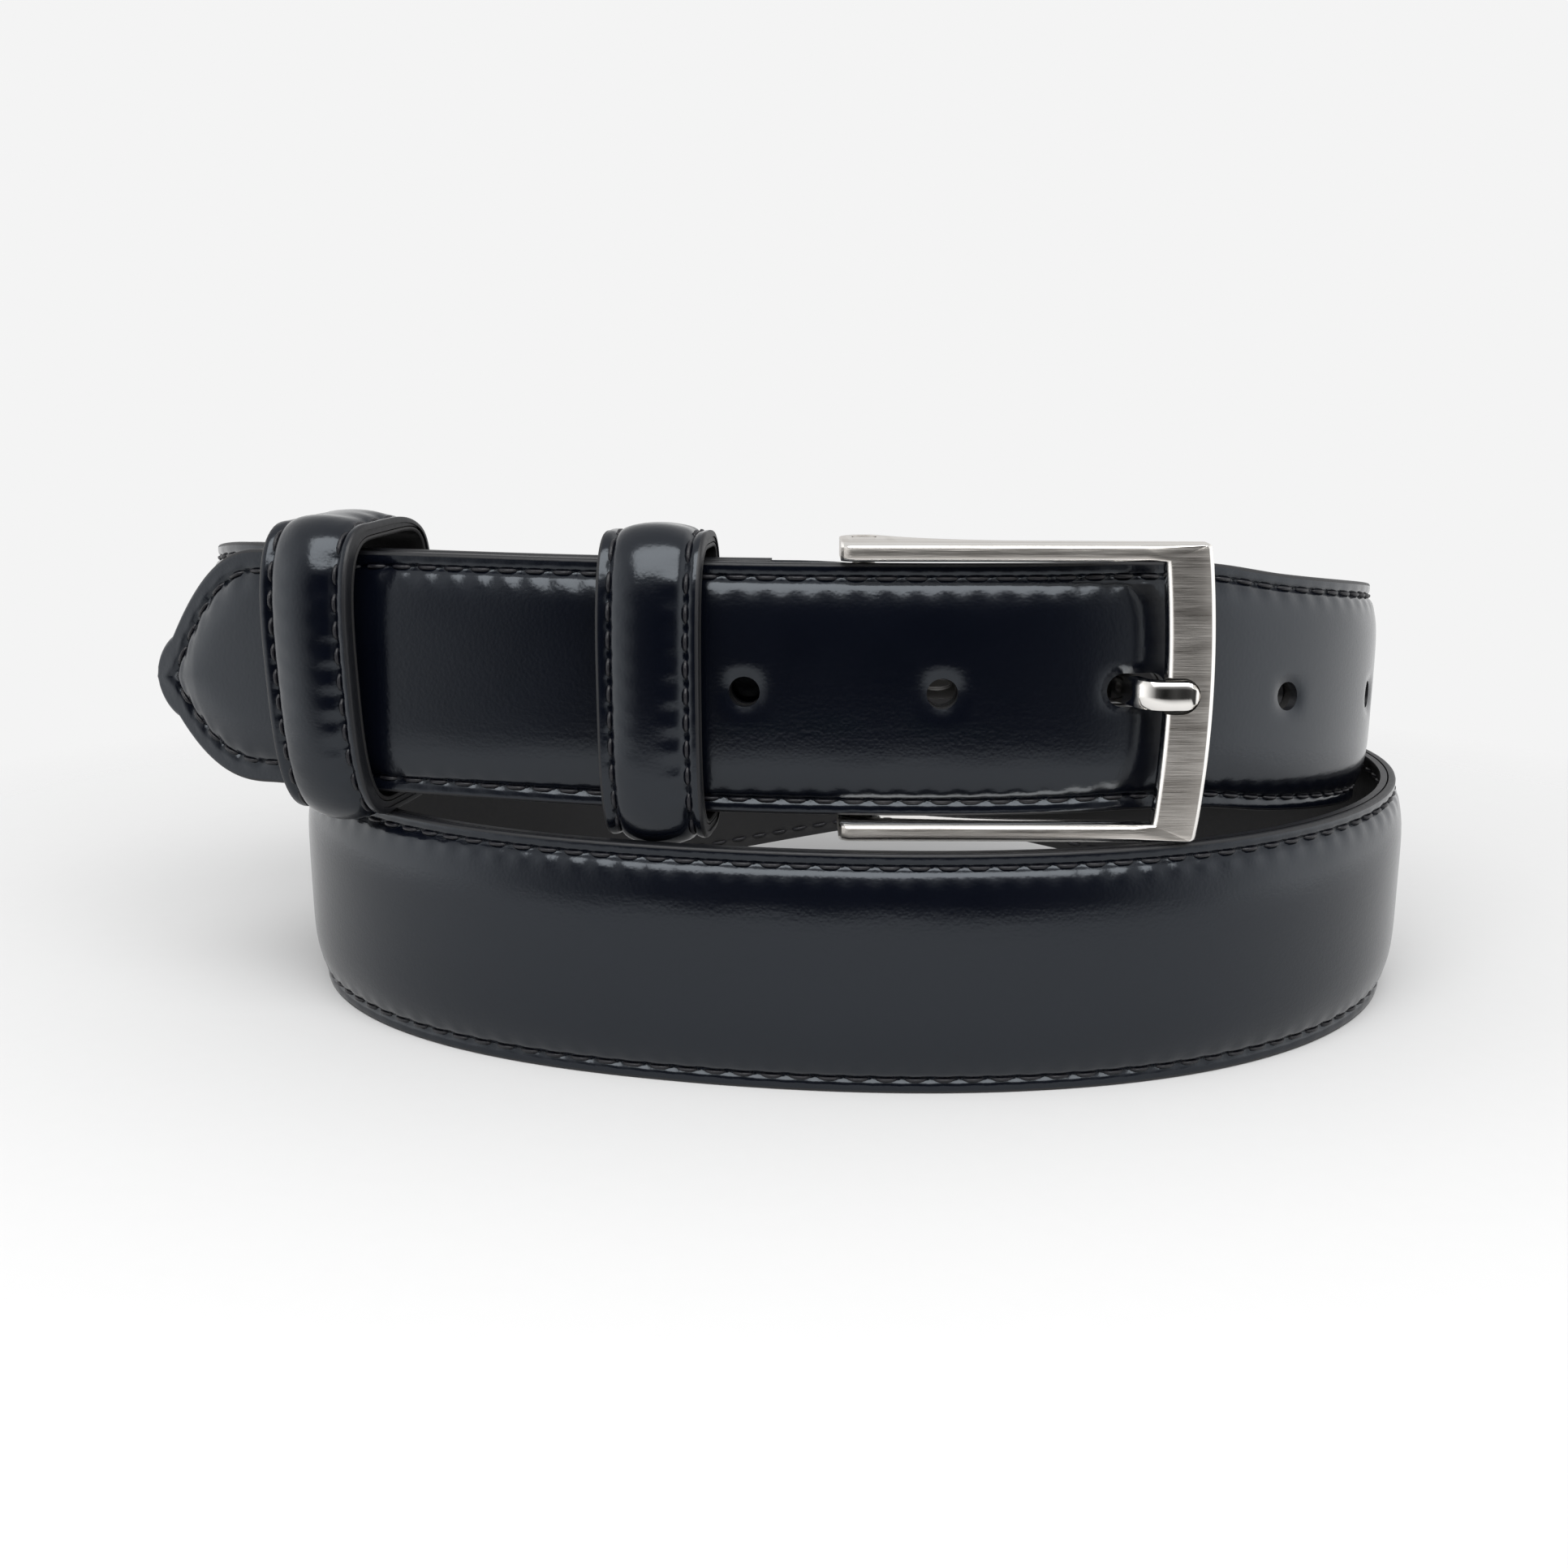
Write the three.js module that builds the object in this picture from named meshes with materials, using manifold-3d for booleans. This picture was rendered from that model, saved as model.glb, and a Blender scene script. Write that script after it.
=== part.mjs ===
// A gentleman's dress belt, buckled and coiled up in two turns, standing on its edge.
// Millimetres, +Z up. The buckle faces -Y, the strap's tip points to -X.
//
// The strap follows one long route from the pivot bar of the buckle, round the coil twice,
// through the buckle and both keepers, to the tip. Every layer of the strap, the holes and
// the keepers are placed along that route by their distance from the bar.

import * as THREE from 'three';
import { mergeVertices } from 'three/addons/utils/BufferGeometryUtils.js';
import Module from 'manifold-3d';

const wasm = await Module();
wasm.setup();

// ---------- driving dimensions ----------

const WIDTH = 32;              // strap width
const RIM = 2.2;               // strap thickness along its two edges
const CROWN = 1.5;             // how far the padded middle stands above the edges
const SKIN = 1.0;              // thickness of the face leather and of the lining
const LAYER_GAP = 0.2;         // between one layer and the next

const STRAP_LENGTH = 943.5;    // from the pivot bar to the tip
const TIP_LENGTH = 18.5;       // the pointed end
const TIP_ROUNDING = 6.5;      // radius at the very tip
const TAB_LENGTH = 46;         // the end folded back behind the bar

const HOLE_RADIUS = 2.1;
const HOLE_PITCH = 24.4;
const MIDDLE_HOLE = 808;       // from the pivot bar, the hole the prong is in

const BAR = new THREE.Vector2(10, 12.4);   // axis of the pivot bar, seen from above
const BAR_RADIUS = 1.45;
const START_HEADING = 176;     // direction of the strap at the bar, degrees from +X

// How sharply the strap bends to the right, in degrees per centimetre, at distances from the
// bar; between two stations the bend changes evenly.
const BENDS = [
  [0, 1.7], [62, 2.6], [76, 9.0], [88, 22.0], [104, 19.0], [130, 16.1], [165, 3.9], [210, 3.4],
  [285, 6.5], [320, 16.8], [360, 10.7], [420, 5.2], [465, 2.9], [515, 11.2], [560, 18.6],
  [600, 4.6], [690, 3.8], [730, 19.7], [770, 12.8], [790, 5.4], [810, 10.0], [835, 2.7], [970, 1.9],
];

// Height of the strap's lower edge at distances from the bar.
const HEIGHTS = [
  [0, 35.2], [30, 35.2], [62, 35.3], [84, 35.2], [104, 33.0], [140, 26], [210, 13.5], [285, 2.2],
  [315, 0], [575, 0], [605, 1.6], [660, 10], [712, 20.5], [742, 26.2], [760, 28.9], [784, 32.2],
  [800, 34.7], [812, 35.2], [850, 35.2], [897, 35.4], [924, 35.0], [943.5, 32.4],
];

const FRAME_OPENING = 32.9;    // between the buckle's arms
const FRAME_ARM = 2.3;         // thickness of an arm, along Z
const FRONT_BAR = { near: 36.0, far: 41.8, bow: 1.2, back: 5.6, face: 8.4 };
const LUG_RADIUS = 3.1;

const PRONG_HEIGHT = 3.7;
const PRONG_DEPTH = 2.0;
const PRONG_EYE = 2.85;        // outer radius of the eye round the bar

const KEEPER_WIDTH = 13;
const FIXED_KEEPER = 868;      // from the bar, measured along the tip end of the strap
const FREE_KEEPER = 913;

const RIVET = { at: 11.5, spread: 10.5, shank: 1.2, bore: 1.5, head: 2.6 };   // through the fold

// ---------- route ----------

const MARCH = 0.5;
const ROUTE = [];              // filled once, below: x, y and heading every MARCH millimetres

function between(stations, s) {
  let i = 1;
  while (i < stations.length - 1 && s > stations[i][0]) i++;
  const [s0, v0] = stations[i - 1];
  const [s1, v1] = stations[i];
  return THREE.MathUtils.lerp(v0, v1, THREE.MathUtils.clamp((s - s0) / (s1 - s0), 0, 1));
}

// A smooth curve through stations that never overshoots them.
function glide(stations, s) {
  const last = stations.length - 1;
  if (s <= stations[0][0]) return stations[0][1];
  if (s >= stations[last][0]) return stations[last][1];
  const slope = (i) => (stations[i + 1][1] - stations[i][1]) / (stations[i + 1][0] - stations[i][0]);
  const tangent = (i) => {
    if (i === 0 || i === last) return 0;
    const before = slope(i - 1);
    const after = slope(i);
    return before * after <= 0 ? 0 : (2 * before * after) / (before + after);
  };
  let i = 0;
  while (s > stations[i + 1][0]) i++;
  const [s0, v0] = stations[i];
  const [s1, v1] = stations[i + 1];
  const run = s1 - s0;
  const t = (s - s0) / run;
  return v0 * (1 + 2 * t) * (1 - t) ** 2 + v1 * t * t * (3 - 2 * t)
    + run * (tangent(i) * t * (1 - t) ** 2 - tangent(i + 1) * t * t * (1 - t));
}

function marchRoute() {
  let heading = THREE.MathUtils.degToRad(START_HEADING);
  const place = BAR.clone();
  for (let s = 0; s <= STRAP_LENGTH + 6.5; s += MARCH) {
    ROUTE.push({ x: place.x, y: place.y, heading });
    const turned = THREE.MathUtils.degToRad(between(BENDS, s + MARCH / 2) / 10) * MARCH;
    const middle = heading - turned / 2;
    place.x += Math.cos(middle) * MARCH;
    place.y += Math.sin(middle) * MARCH;
    heading -= turned;
  }
}
marchRoute();

// The strap's own axes at distance s: along it, out of its face, and across it.
function frameAt(s) {
  const steps = THREE.MathUtils.clamp(s / MARCH, 0, ROUTE.length - 2);
  const i = Math.floor(steps);
  const a = ROUTE[i];
  const b = ROUTE[i + 1];
  const t = steps - i;
  const heading = THREE.MathUtils.lerp(a.heading, b.heading, t);
  const along = new THREE.Vector3(Math.cos(heading), Math.sin(heading), 0);
  const out = new THREE.Vector3(-Math.sin(heading), Math.cos(heading), 0);
  const across = new THREE.Vector3(0, 0, 1);
  const before = Math.min(0, s);
  const origin = new THREE.Vector3(
    THREE.MathUtils.lerp(a.x, b.x, t) + Math.cos(heading) * before,
    THREE.MathUtils.lerp(a.y, b.y, t) + Math.sin(heading) * before,
    glide(HEIGHTS, s) + WIDTH / 2,
  );
  return { origin, along, out, across };
}

function pointAt(frame, w, n, shift = 0) {
  return frame.origin.clone()
    .addScaledVector(frame.across, w)
    .addScaledVector(frame.out, n)
    .addScaledVector(frame.along, shift);
}

// Distances at which a layer gets a cross-section: closer together where the strap turns.
function stationsFrom(start, end, turnLimit = 8, stepLimit = 14) {
  const list = [start];
  let last = start;
  for (let s = start + 1; s < end - 2; s += 1) {
    const turned = ROUTE[Math.round(last / MARCH)].heading - ROUTE[Math.round(s / MARCH)].heading;
    if (THREE.MathUtils.radToDeg(turned) > turnLimit || s - last > stepLimit) {
      list.push(s);
      last = s;
    }
  }
  list.push(end);
  return list;
}

// ---------- solids ----------

function geometryFrom(points, triangles) {
  const geometry = new THREE.BufferGeometry();
  geometry.setAttribute('position', new THREE.Float32BufferAttribute(points.flatMap((p) => [p.x, p.y, p.z]), 3));
  geometry.setIndex(triangles);
  return facingOut(geometry);
}

// Reverses every triangle of a closed mesh whose faces point inwards.
function facingOut(geometry) {
  const p = geometry.attributes.position;
  const index = geometry.index.array;
  const a = new THREE.Vector3();
  const b = new THREE.Vector3();
  const c = new THREE.Vector3();
  let volume = 0;
  for (let i = 0; i < index.length; i += 3) {
    a.fromBufferAttribute(p, index[i]);
    b.fromBufferAttribute(p, index[i + 1]);
    c.fromBufferAttribute(p, index[i + 2]);
    volume += a.dot(b.cross(c));
  }
  if (volume < 0) {
    for (let i = 0; i < index.length; i += 3) {
      [index[i], index[i + 1]] = [index[i + 1], index[i]];
    }
  }
  return geometry;
}

// A solid lofted through rings of points; flat ends, or joined end to end when it is a loop.
function loft(rings, endOutline, isLoop = false) {
  const size = rings[0].length;
  const triangles = [];
  const spans = isLoop ? rings.length : rings.length - 1;
  for (let i = 0; i < spans; i++) {
    const next = (i + 1) % rings.length;
    for (let j = 0; j < size; j++) {
      const k = (j + 1) % size;
      triangles.push(i * size + j, next * size + j, next * size + k);
      triangles.push(i * size + j, next * size + k, i * size + k);
    }
  }
  if (!isLoop) {
    const cap = THREE.ShapeUtils.triangulateShape(endOutline, []);
    const [p, q, r] = cap[0].map((corner) => endOutline[corner]);
    const sameWay = THREE.ShapeUtils.isClockWise([p, q, r]) === THREE.ShapeUtils.isClockWise(endOutline);
    const lastRing = (rings.length - 1) * size;
    for (const triangle of cap) {
      const [a, b, c] = sameWay ? triangle : [...triangle].reverse();
      triangles.push(a, b, c);
      triangles.push(lastRing + a, lastRing + c, lastRing + b);
    }
  }
  return geometryFrom(rings.flat(), triangles);
}

function bare(geometry) {
  const copy = geometry.clone();
  copy.deleteAttribute('normal');
  copy.deleteAttribute('uv');
  return mergeVertices(copy, 1e-4);
}

function toSolid(geometry) {
  const merged = bare(geometry);
  return new wasm.Manifold(new wasm.Mesh({
    numProp: 3,
    vertProperties: new Float32Array(merged.attributes.position.array),
    triVerts: new Uint32Array(merged.index.array),
  }));
}

function fromSolid(solid) {
  const mesh = solid.getMesh();
  const geometry = new THREE.BufferGeometry();
  geometry.setAttribute('position', new THREE.BufferAttribute(new Float32Array(mesh.vertProperties), 3));
  geometry.setIndex(new THREE.BufferAttribute(new Uint32Array(mesh.triVerts), 1));
  return geometry;
}

function cut(geometry, cutters) {
  return fromSolid(cutters.reduce((solid, cutter) => solid.subtract(toSolid(cutter)), toSolid(geometry)));
}

function join(geometries) {
  return fromSolid(geometries.slice(1).reduce((solid, more) => solid.add(toSolid(more)), toSolid(geometries[0])));
}

// Turns a geometry made along its own X, Y, Z into the strap's axes: along, across and out.
function placeOnStrap(geometry, s, w = 0, n = 0) {
  const frame = frameAt(s);
  const flipped = frame.along.clone().negate();
  const turn = new THREE.Matrix4().makeBasis(flipped, frame.across, frame.out);
  return geometry.applyMatrix4(turn.setPosition(pointAt(frame, w, n)));
}

// ---------- strap ----------

function halfWidth(s) {
  const fromTip = STRAP_LENGTH - s;
  if (fromTip >= TIP_LENGTH) return WIDTH / 2;
  const pointed = (WIDTH / 2) * (1 - (1 - fromTip / TIP_LENGTH) ** 2.2);
  const rounded = Math.sqrt(Math.max(0, fromTip * (2 * TIP_ROUNDING - fromTip)));
  return fromTip < TIP_ROUNDING ? Math.max(pointed, rounded) : pointed;
}

function crownAt(s) {
  const nearBar = THREE.MathUtils.smoothstep(s, 9, 28);
  const nearTip = Math.min(1, halfWidth(s) / (WIDTH * 0.36));
  return CROWN * nearBar * nearTip;
}

const TOP = RIM / 2;
const BOTTOM = RIM / 2 - SKIN;

// Outline of the face leather: its crowned top, then the hollow under the crown.
function faceOutline(half, crown, lift = 0) {
  return [
    [-1, TOP], [-0.85, TOP + 0.4 * crown], [-0.6, TOP + 0.9 * crown], [0, TOP + crown],
    [0.6, TOP + 0.9 * crown], [0.85, TOP + 0.4 * crown], [1, TOP],
    [1, BOTTOM], [0.78, BOTTOM], [0.54, BOTTOM + 0.85 * crown],
    [-0.54, BOTTOM + 0.85 * crown], [-0.78, BOTTOM], [-1, BOTTOM],
  ].map(([w, n]) => new THREE.Vector2(w * half, n + lift));
}

function coreOutline(half) {
  const top = BOTTOM + 0.7 * CROWN;
  return [[-0.73, BOTTOM], [0.73, BOTTOM], [0.5, top], [-0.5, top]]
    .map(([w, n]) => new THREE.Vector2(w * half, n));
}

function liningOutline(half) {
  const top = BOTTOM - LAYER_GAP;
  const trimmed = half * 0.98;
  return [[-1, -RIM / 2], [1, -RIM / 2], [1, top], [-1, top]].map(([w, n]) => new THREE.Vector2(w * trimmed, n));
}

function ringOn(frame, outline) {
  return outline.map((p) => pointAt(frame, p.x, p.y));
}

// The skived end of the face leather: round the bar and back behind the strap as a tab.
function foldRings() {
  const middle = TOP - SKIN / 2;
  const wrap = BAR_RADIUS + 0.3 + SKIN / 2;
  const behind = -4.55;
  const path = [[TAB_LENGTH, behind], [34, behind], [22, behind], [12, behind], [8, behind]];
  path.push([4.5, (behind - wrap) / 2 - 0.3]);
  for (let angle = -90; angle <= 90; angle += 22.5) {
    const turn = THREE.MathUtils.degToRad(angle);
    path.push([-wrap * Math.cos(turn), wrap * Math.sin(turn)]);
  }
  path.push([4, (middle + wrap) / 2 + 0.25]);
  path.push([8, middle + 0.12]);
  const start = frameAt(0);
  const places = path.map(([s, n]) => {
    const frame = frameAt(Math.max(0, s));
    return pointAt(frame, 0, n, Math.min(0, s));
  });
  const flat = faceOutline(WIDTH / 2 - 0.8, 0, -middle);
  return places.map((place, i) => {
    const before = places[Math.max(0, i - 1)];
    const after = places[Math.min(places.length - 1, i + 1)];
    const along = after.clone().sub(before).setZ(0).normalize();
    const out = new THREE.Vector3(-along.y, along.x, 0);
    const frame = { origin: place.clone().setZ(start.origin.z), along, out, across: new THREE.Vector3(0, 0, 1) };
    return ringOn(frame, flat);
  });
}

function holeCutter(s, radius, stretch = 0) {
  const shape = new THREE.Shape();
  shape.absarc(stretch, 0, radius, -Math.PI / 2, Math.PI / 2);
  shape.absarc(-stretch, 0, radius, Math.PI / 2, Math.PI * 1.5);
  const depth = 12;
  const cutter = new THREE.ExtrudeGeometry(shape, { depth, bevelEnabled: false, curveSegments: 7 });
  cutter.translate(0, 0, -depth / 2);
  return placeOnStrap(cutter, s);
}

// The prong leans as it goes through the strap, so the middle hole is drawn out towards the
// tip, a little further in the layers behind the face.
function strapHoles(drawnTo) {
  const cutters = [];
  for (const step of [-2, -1, 1, 2]) {
    cutters.push(holeCutter(MIDDLE_HOLE + step * HOLE_PITCH, HOLE_RADIUS));
  }
  const drawnFrom = MIDDLE_HOLE - 2;
  const drawnHole = holeCutter((drawnFrom + drawnTo) / 2, HOLE_RADIUS + 0.2, (drawnTo - drawnFrom) / 2);
  cutters.push(drawnHole);
  return cutters;
}

function rivetCutters() {
  return [-1, 1].map((side) => {
    const bore = new THREE.CylinderGeometry(RIVET.bore, RIVET.bore, 9.6, 14).rotateX(Math.PI / 2);
    return placeOnStrap(bore, RIVET.at, side * RIVET.spread, -2.2);
  });
}

function prongSlot() {
  const slot = new THREE.BoxGeometry(9, 10, PRONG_HEIGHT + 1.2);
  return slot.translate(BAR.x + 0.9, BAR.y, frameAt(0).origin.z);
}

const tipStations = [18, 12, 8, 5, 3, 1.4, 0.5, 0.08].map((u) => STRAP_LENGTH - u);
const bodyStations = [...stationsFrom(11, STRAP_LENGTH - TIP_LENGTH), ...tipStations];

function strapFace() {
  const rings = foldRings();
  for (const s of bodyStations) {
    rings.push(ringOn(frameAt(s), faceOutline(halfWidth(s), crownAt(s))));
  }
  const face = loft(rings, faceOutline(WIDTH / 2, 0));
  return cut(face, [...strapHoles(MIDDLE_HOLE + 1.7), ...rivetCutters(), prongSlot()]);
}

function strapCore() {
  const rings = [28, ...bodyStations.filter((s) => s > 30 && s < STRAP_LENGTH - 11)]
    .map((s) => ringOn(frameAt(s), coreOutline(halfWidth(s))));
  return cut(loft(rings, coreOutline(WIDTH / 2)), strapHoles(MIDDLE_HOLE + 3.4));
}

function strapLining() {
  const rings = bodyStations.map((s) => ringOn(frameAt(s), liningOutline(halfWidth(s))));
  return cut(loft(rings, liningOutline(WIDTH / 2)), [...strapHoles(MIDDLE_HOLE + 3.8), ...rivetCutters()]);
}

// ---------- buckle ----------

const MID_HEIGHT = frameAt(0).origin.z;

// Brings a geometry made in the buckle's own axes into place. Its X runs from the bar to the
// front bar, its Y points out of the strap's face, and its Z is across the strap.
function placeAtBar(geometry) {
  const turn = new THREE.Matrix4().makeBasis(
    new THREE.Vector3(1, 0, 0),
    new THREE.Vector3(0, -1, 0),
    new THREE.Vector3(0, 0, -1),
  );
  return geometry.applyMatrix4(turn.setPosition(BAR.x, BAR.y, MID_HEIGHT));
}

function armShape() {
  const shape = new THREE.Shape();
  const { far, back, face } = FRONT_BAR;
  shape.moveTo(far - 0.4, back);
  shape.lineTo(far - 0.4, face);
  shape.lineTo(-LUG_RADIUS + 1.2, face - 0.4);
  shape.quadraticCurveTo(-LUG_RADIUS, face - 0.4, -LUG_RADIUS, face - 1.6);
  shape.lineTo(-LUG_RADIUS, 0);
  shape.absarc(0, 0, LUG_RADIUS, Math.PI, 1.75 * Math.PI);
  shape.quadraticCurveTo(7, 2.8, 18, 4.3);
  shape.lineTo(far - 8, back - 0.4);
  shape.closePath();
  return shape;
}

function buckleArm(side) {
  const shape = armShape();
  const barHole = new THREE.Path().absarc(0, 0, BAR_RADIUS + 0.3, 0, 2 * Math.PI);
  shape.holes.push(barHole);
  const arm = new THREE.ExtrudeGeometry(shape, { depth: FRAME_ARM, bevelEnabled: false, curveSegments: 9 });
  const inner = FRAME_OPENING / 2;
  return arm.translate(0, 0, side > 0 ? inner : -inner - FRAME_ARM);
}

// The front bar bows away from the pivot bar; its long edges are bevelled.
function frontBar() {
  const { near, far, bow, back, face } = FRONT_BAR;
  const half = FRAME_OPENING / 2 + FRAME_ARM;
  const bevel = 0.6;
  const rings = [];
  for (let i = 0; i <= 10; i++) {
    const z = -half + (2 * half * i) / 10;
    const shift = bow * (1 - (z / half) ** 2);
    const corner = Math.abs(z) > half - 0.01 ? 0.7 : 0;
    rings.push([
      [near + shift, back], [far + shift - corner, back], [far + shift - corner, face - bevel],
      [far + shift - bevel - corner, face], [near + shift + bevel, face], [near + shift, face - bevel],
    ].map(([x, y]) => new THREE.Vector3(x, y, z)));
  }
  const outline = rings[0].map((p) => new THREE.Vector2(p.x, p.y));
  return loft(rings, outline);
}

function buckleFrame() {
  const { near, far, bow, back, face } = FRONT_BAR;
  const notchLength = 5.4;
  const notch = new THREE.BoxGeometry(notchLength, 3, PRONG_HEIGHT + 0.9)
    .translate(far + bow - 1.6 - notchLength / 2, face - 0.4, 0);
  const mouth = new THREE.BoxGeometry(3, 6, PRONG_HEIGHT + 0.9)
    .translate(near + 0.2, back + 0.9 + 3, 0);
  const frame = cut(join([frontBar(), buckleArm(1), buckleArm(-1)]), [notch, mouth]);
  return placeAtBar(frame);
}

function pivotBar() {
  const half = FRAME_OPENING / 2 + FRAME_ARM - 0.1;
  return placeAtBar(new THREE.CylinderGeometry(BAR_RADIUS, BAR_RADIUS, 2 * half, 18).rotateX(Math.PI / 2));
}

// Side view of the prong: an eye round the bar, a shaft behind the strap, a steep rise
// through the hole and a level end that lies in the notch of the front bar.
function prong() {
  const half = PRONG_DEPTH / 2;
  const level = FRONT_BAR.face - 0.55;
  const path = new THREE.CatmullRomCurve3([
    [1.5, -0.1], [12, 0], [24, 0], [29.0, 0.1], [32.0, 1.7], [33.6, 4.5], [34.8, 6.9], [36.4, level],
    [38.8, level], [41.4, level],
  ].map(([x, y]) => new THREE.Vector3(x, y, 0)), false, 'centripetal');
  const upper = [];
  const lower = [];
  const steps = 26;
  for (let i = 0; i <= steps; i++) {
    const place = path.getPointAt(i / steps);
    const along = path.getTangentAt(i / steps);
    upper.push(new THREE.Vector2(place.x - along.y * half, place.y + along.x * half));
    lower.push(new THREE.Vector2(place.x + along.y * half, place.y - along.x * half));
  }
  const shaftShape = new THREE.Shape([...lower, ...upper.reverse()]);
  const depth = { depth: PRONG_HEIGHT, bevelEnabled: false, curveSegments: 10 };
  const shaft = new THREE.ExtrudeGeometry(shaftShape, depth);
  const eyeShape = new THREE.Shape().absarc(0, 0, PRONG_EYE, 0, 2 * Math.PI);
  const eye = new THREE.ExtrudeGeometry(eyeShape, depth);
  const bore = new THREE.CylinderGeometry(BAR_RADIUS + 0.25, BAR_RADIUS + 0.25, 12, 20).rotateX(Math.PI / 2);
  const tipLength = 3;
  const tipTrim = join([-1, 1].map((side) => new THREE.BoxGeometry(tipLength, 6, tipLength)
    .rotateY(side * Math.PI / 4).translate(43.4, level, side * 2.6)));
  shaft.translate(0, 0, -PRONG_HEIGHT / 2);
  eye.translate(0, 0, -PRONG_HEIGHT / 2);
  return placeAtBar(cut(join([shaft, eye]), [bore, tipTrim]));
}

// ---------- keepers ----------

// A keeper is a loop of rounded outline, seen along the strap: out of the face, and across.
// Its front and its back are halves of two super-ellipses on one centre; tilt leans the loop.
function loopPoint(inside, angle) {
  const ahead = Math.cos(angle) > 0;
  const depth = ahead ? inside.front - inside.centre : inside.centre - inside.back;
  const power = 2 / (ahead ? inside.frontSquare : inside.backSquare);
  const n = inside.centre + Math.sign(Math.cos(angle)) * depth * Math.abs(Math.cos(angle)) ** power;
  const w = Math.sign(Math.sin(angle)) * inside.half * Math.abs(Math.sin(angle)) ** power;
  return new THREE.Vector2(n, w);
}

// Cross-section of one layer of the loop at an angle: a strip between two distances outside
// the innermost surface. The front of the keeper is thicker than its back.
function keeperSection(inside, layer, angle, width) {
  const small = 0.01;
  const place = loopPoint(inside, angle);
  const tangent = loopPoint(inside, angle + small).sub(loopPoint(inside, angle - small)).normalize();
  const normal = new THREE.Vector2(tangent.y, -tangent.x);
  const ahead = THREE.MathUtils.smoothstep(Math.cos(angle), -0.2, 0.5);
  const near = THREE.MathUtils.lerp(layer.back[0], layer.front[0], ahead);
  const far = THREE.MathUtils.lerp(layer.back[1], layer.front[1], ahead);
  const lean = THREE.MathUtils.degToRad(inside.tilt);
  return [[near, -1], [near, 1], [far, 1], [far, -1]].map(([distance, side]) => {
    const spot = place.clone().addScaledVector(normal, distance);
    spot.rotateAround(new THREE.Vector2(inside.centre, 0), lean);
    return new THREE.Vector3(spot.x, spot.y + inside.lift, (side * width) / 2);
  });
}

const KEEPER_LINING = { back: [0, 0.6], front: [0, 0.8] };
const KEEPER_FACE = { back: [0.8, 1.4], front: [2.1, 3.0] };
const KEEPER_PAD = { back: [1.05, 1.85], front: [1.05, 1.85] };

function keeperBand(inside, layer) {
  const rings = [];
  const steps = 44;
  for (let i = 0; i < steps; i++) {
    rings.push(keeperSection(inside, layer, (2 * Math.PI * (i + 0.5)) / steps, KEEPER_WIDTH));
  }
  return loft(rings, null, true);
}

// Filler between the keeper's two leathers, only in front.
function keeperPad(inside) {
  const rings = [];
  const reach = THREE.MathUtils.degToRad(52);
  const steps = 14;
  for (let i = 0; i <= steps; i++) {
    rings.push(keeperSection(inside, KEEPER_PAD, -reach + (2 * reach * i) / steps, KEEPER_WIDTH - 4));
  }
  const end = [[0, 0], [0, 1], [1, 1], [1, 0]].map(([x, y]) => new THREE.Vector2(x, y));
  return loft(rings, end);
}

// Flat wire staple lying on the keeper's back, over the butted ends of its leather.
function keeperStaple(inside) {
  const back = inside.back - KEEPER_FACE.back[1] - 0.55;
  return new THREE.BoxGeometry(0.5, 2.2, 8).translate(back, inside.lift, 0);
}

// Turns keeper axes (out, across, along) into place at a distance along the strap.
function placeKeeper(geometry, s) {
  const frame = frameAt(s);
  const turn = new THREE.Matrix4().makeBasis(frame.out, frame.across, frame.along);
  return geometry.applyMatrix4(turn.setPosition(frame.origin));
}

const FIXED_INSIDE = {
  back: -6.35, centre: -1.2, front: 4.3, half: 17.3, frontSquare: 2.9, backSquare: 9, lift: 0, tilt: 0,
};
const FREE_INSIDE = {
  back: -13.2, centre: -0.8, front: 4.9, half: 17.25, frontSquare: 2.9, backSquare: 9, lift: 0.3, tilt: -3,
};

// ---------- materials and assembly ----------

const leather = { color: 0x0b0c10, roughness: 0.3, metalness: 0 };
const lining = { color: 0x15140f, roughness: 0.6, metalness: 0 };
const filler = { color: 0x8a7357, roughness: 0.9, metalness: 0 };
const nickel = { color: 0x9d968e, roughness: 0.38, metalness: 1 };
const polished = { color: 0xd9d6d0, roughness: 0.12, metalness: 1 };

const belt = new THREE.Group();

function add(name, geometry, finish) {
  const mesh = new THREE.Mesh(geometry, new THREE.MeshStandardMaterial(finish));
  mesh.name = name;
  belt.add(mesh);
}

function rivet(side) {
  const disc = (radius, thickness, n) => {
    return new THREE.CylinderGeometry(radius, radius, thickness, 18).rotateX(Math.PI / 2).translate(0, 0, n);
  };
  const parts = [disc(RIVET.shank, 7.2, -1.9), disc(RIVET.head, 0.45, 1.7), disc(RIVET.head, 0.6, -5.6)];
  return placeOnStrap(join(parts), RIVET.at, side * RIVET.spread);
}

function addKeeper(name, inside, s) {
  add(`${name}_face`, placeKeeper(keeperBand(inside, KEEPER_FACE), s), leather);
  add(`${name}_pad`, placeKeeper(keeperPad(inside), s), filler);
  add(`${name}_lining`, placeKeeper(keeperBand(inside, KEEPER_LINING), s), lining);
}

add('strap_face', strapFace(), leather);
add('strap_core', strapCore(), filler);
add('strap_lining', strapLining(), lining);
add('fold_rivet_upper', rivet(1), polished);
add('fold_rivet_lower', rivet(-1), polished);
add('buckle_frame', buckleFrame(), nickel);
add('pivot_bar', pivotBar(), nickel);
add('prong', prong(), polished);
addKeeper('fixed_keeper', FIXED_INSIDE, FIXED_KEEPER);
addKeeper('free_keeper', FREE_INSIDE, FREE_KEEPER);
add('free_keeper_staple', placeKeeper(keeperStaple(FREE_INSIDE), FREE_KEEPER), polished);

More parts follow.
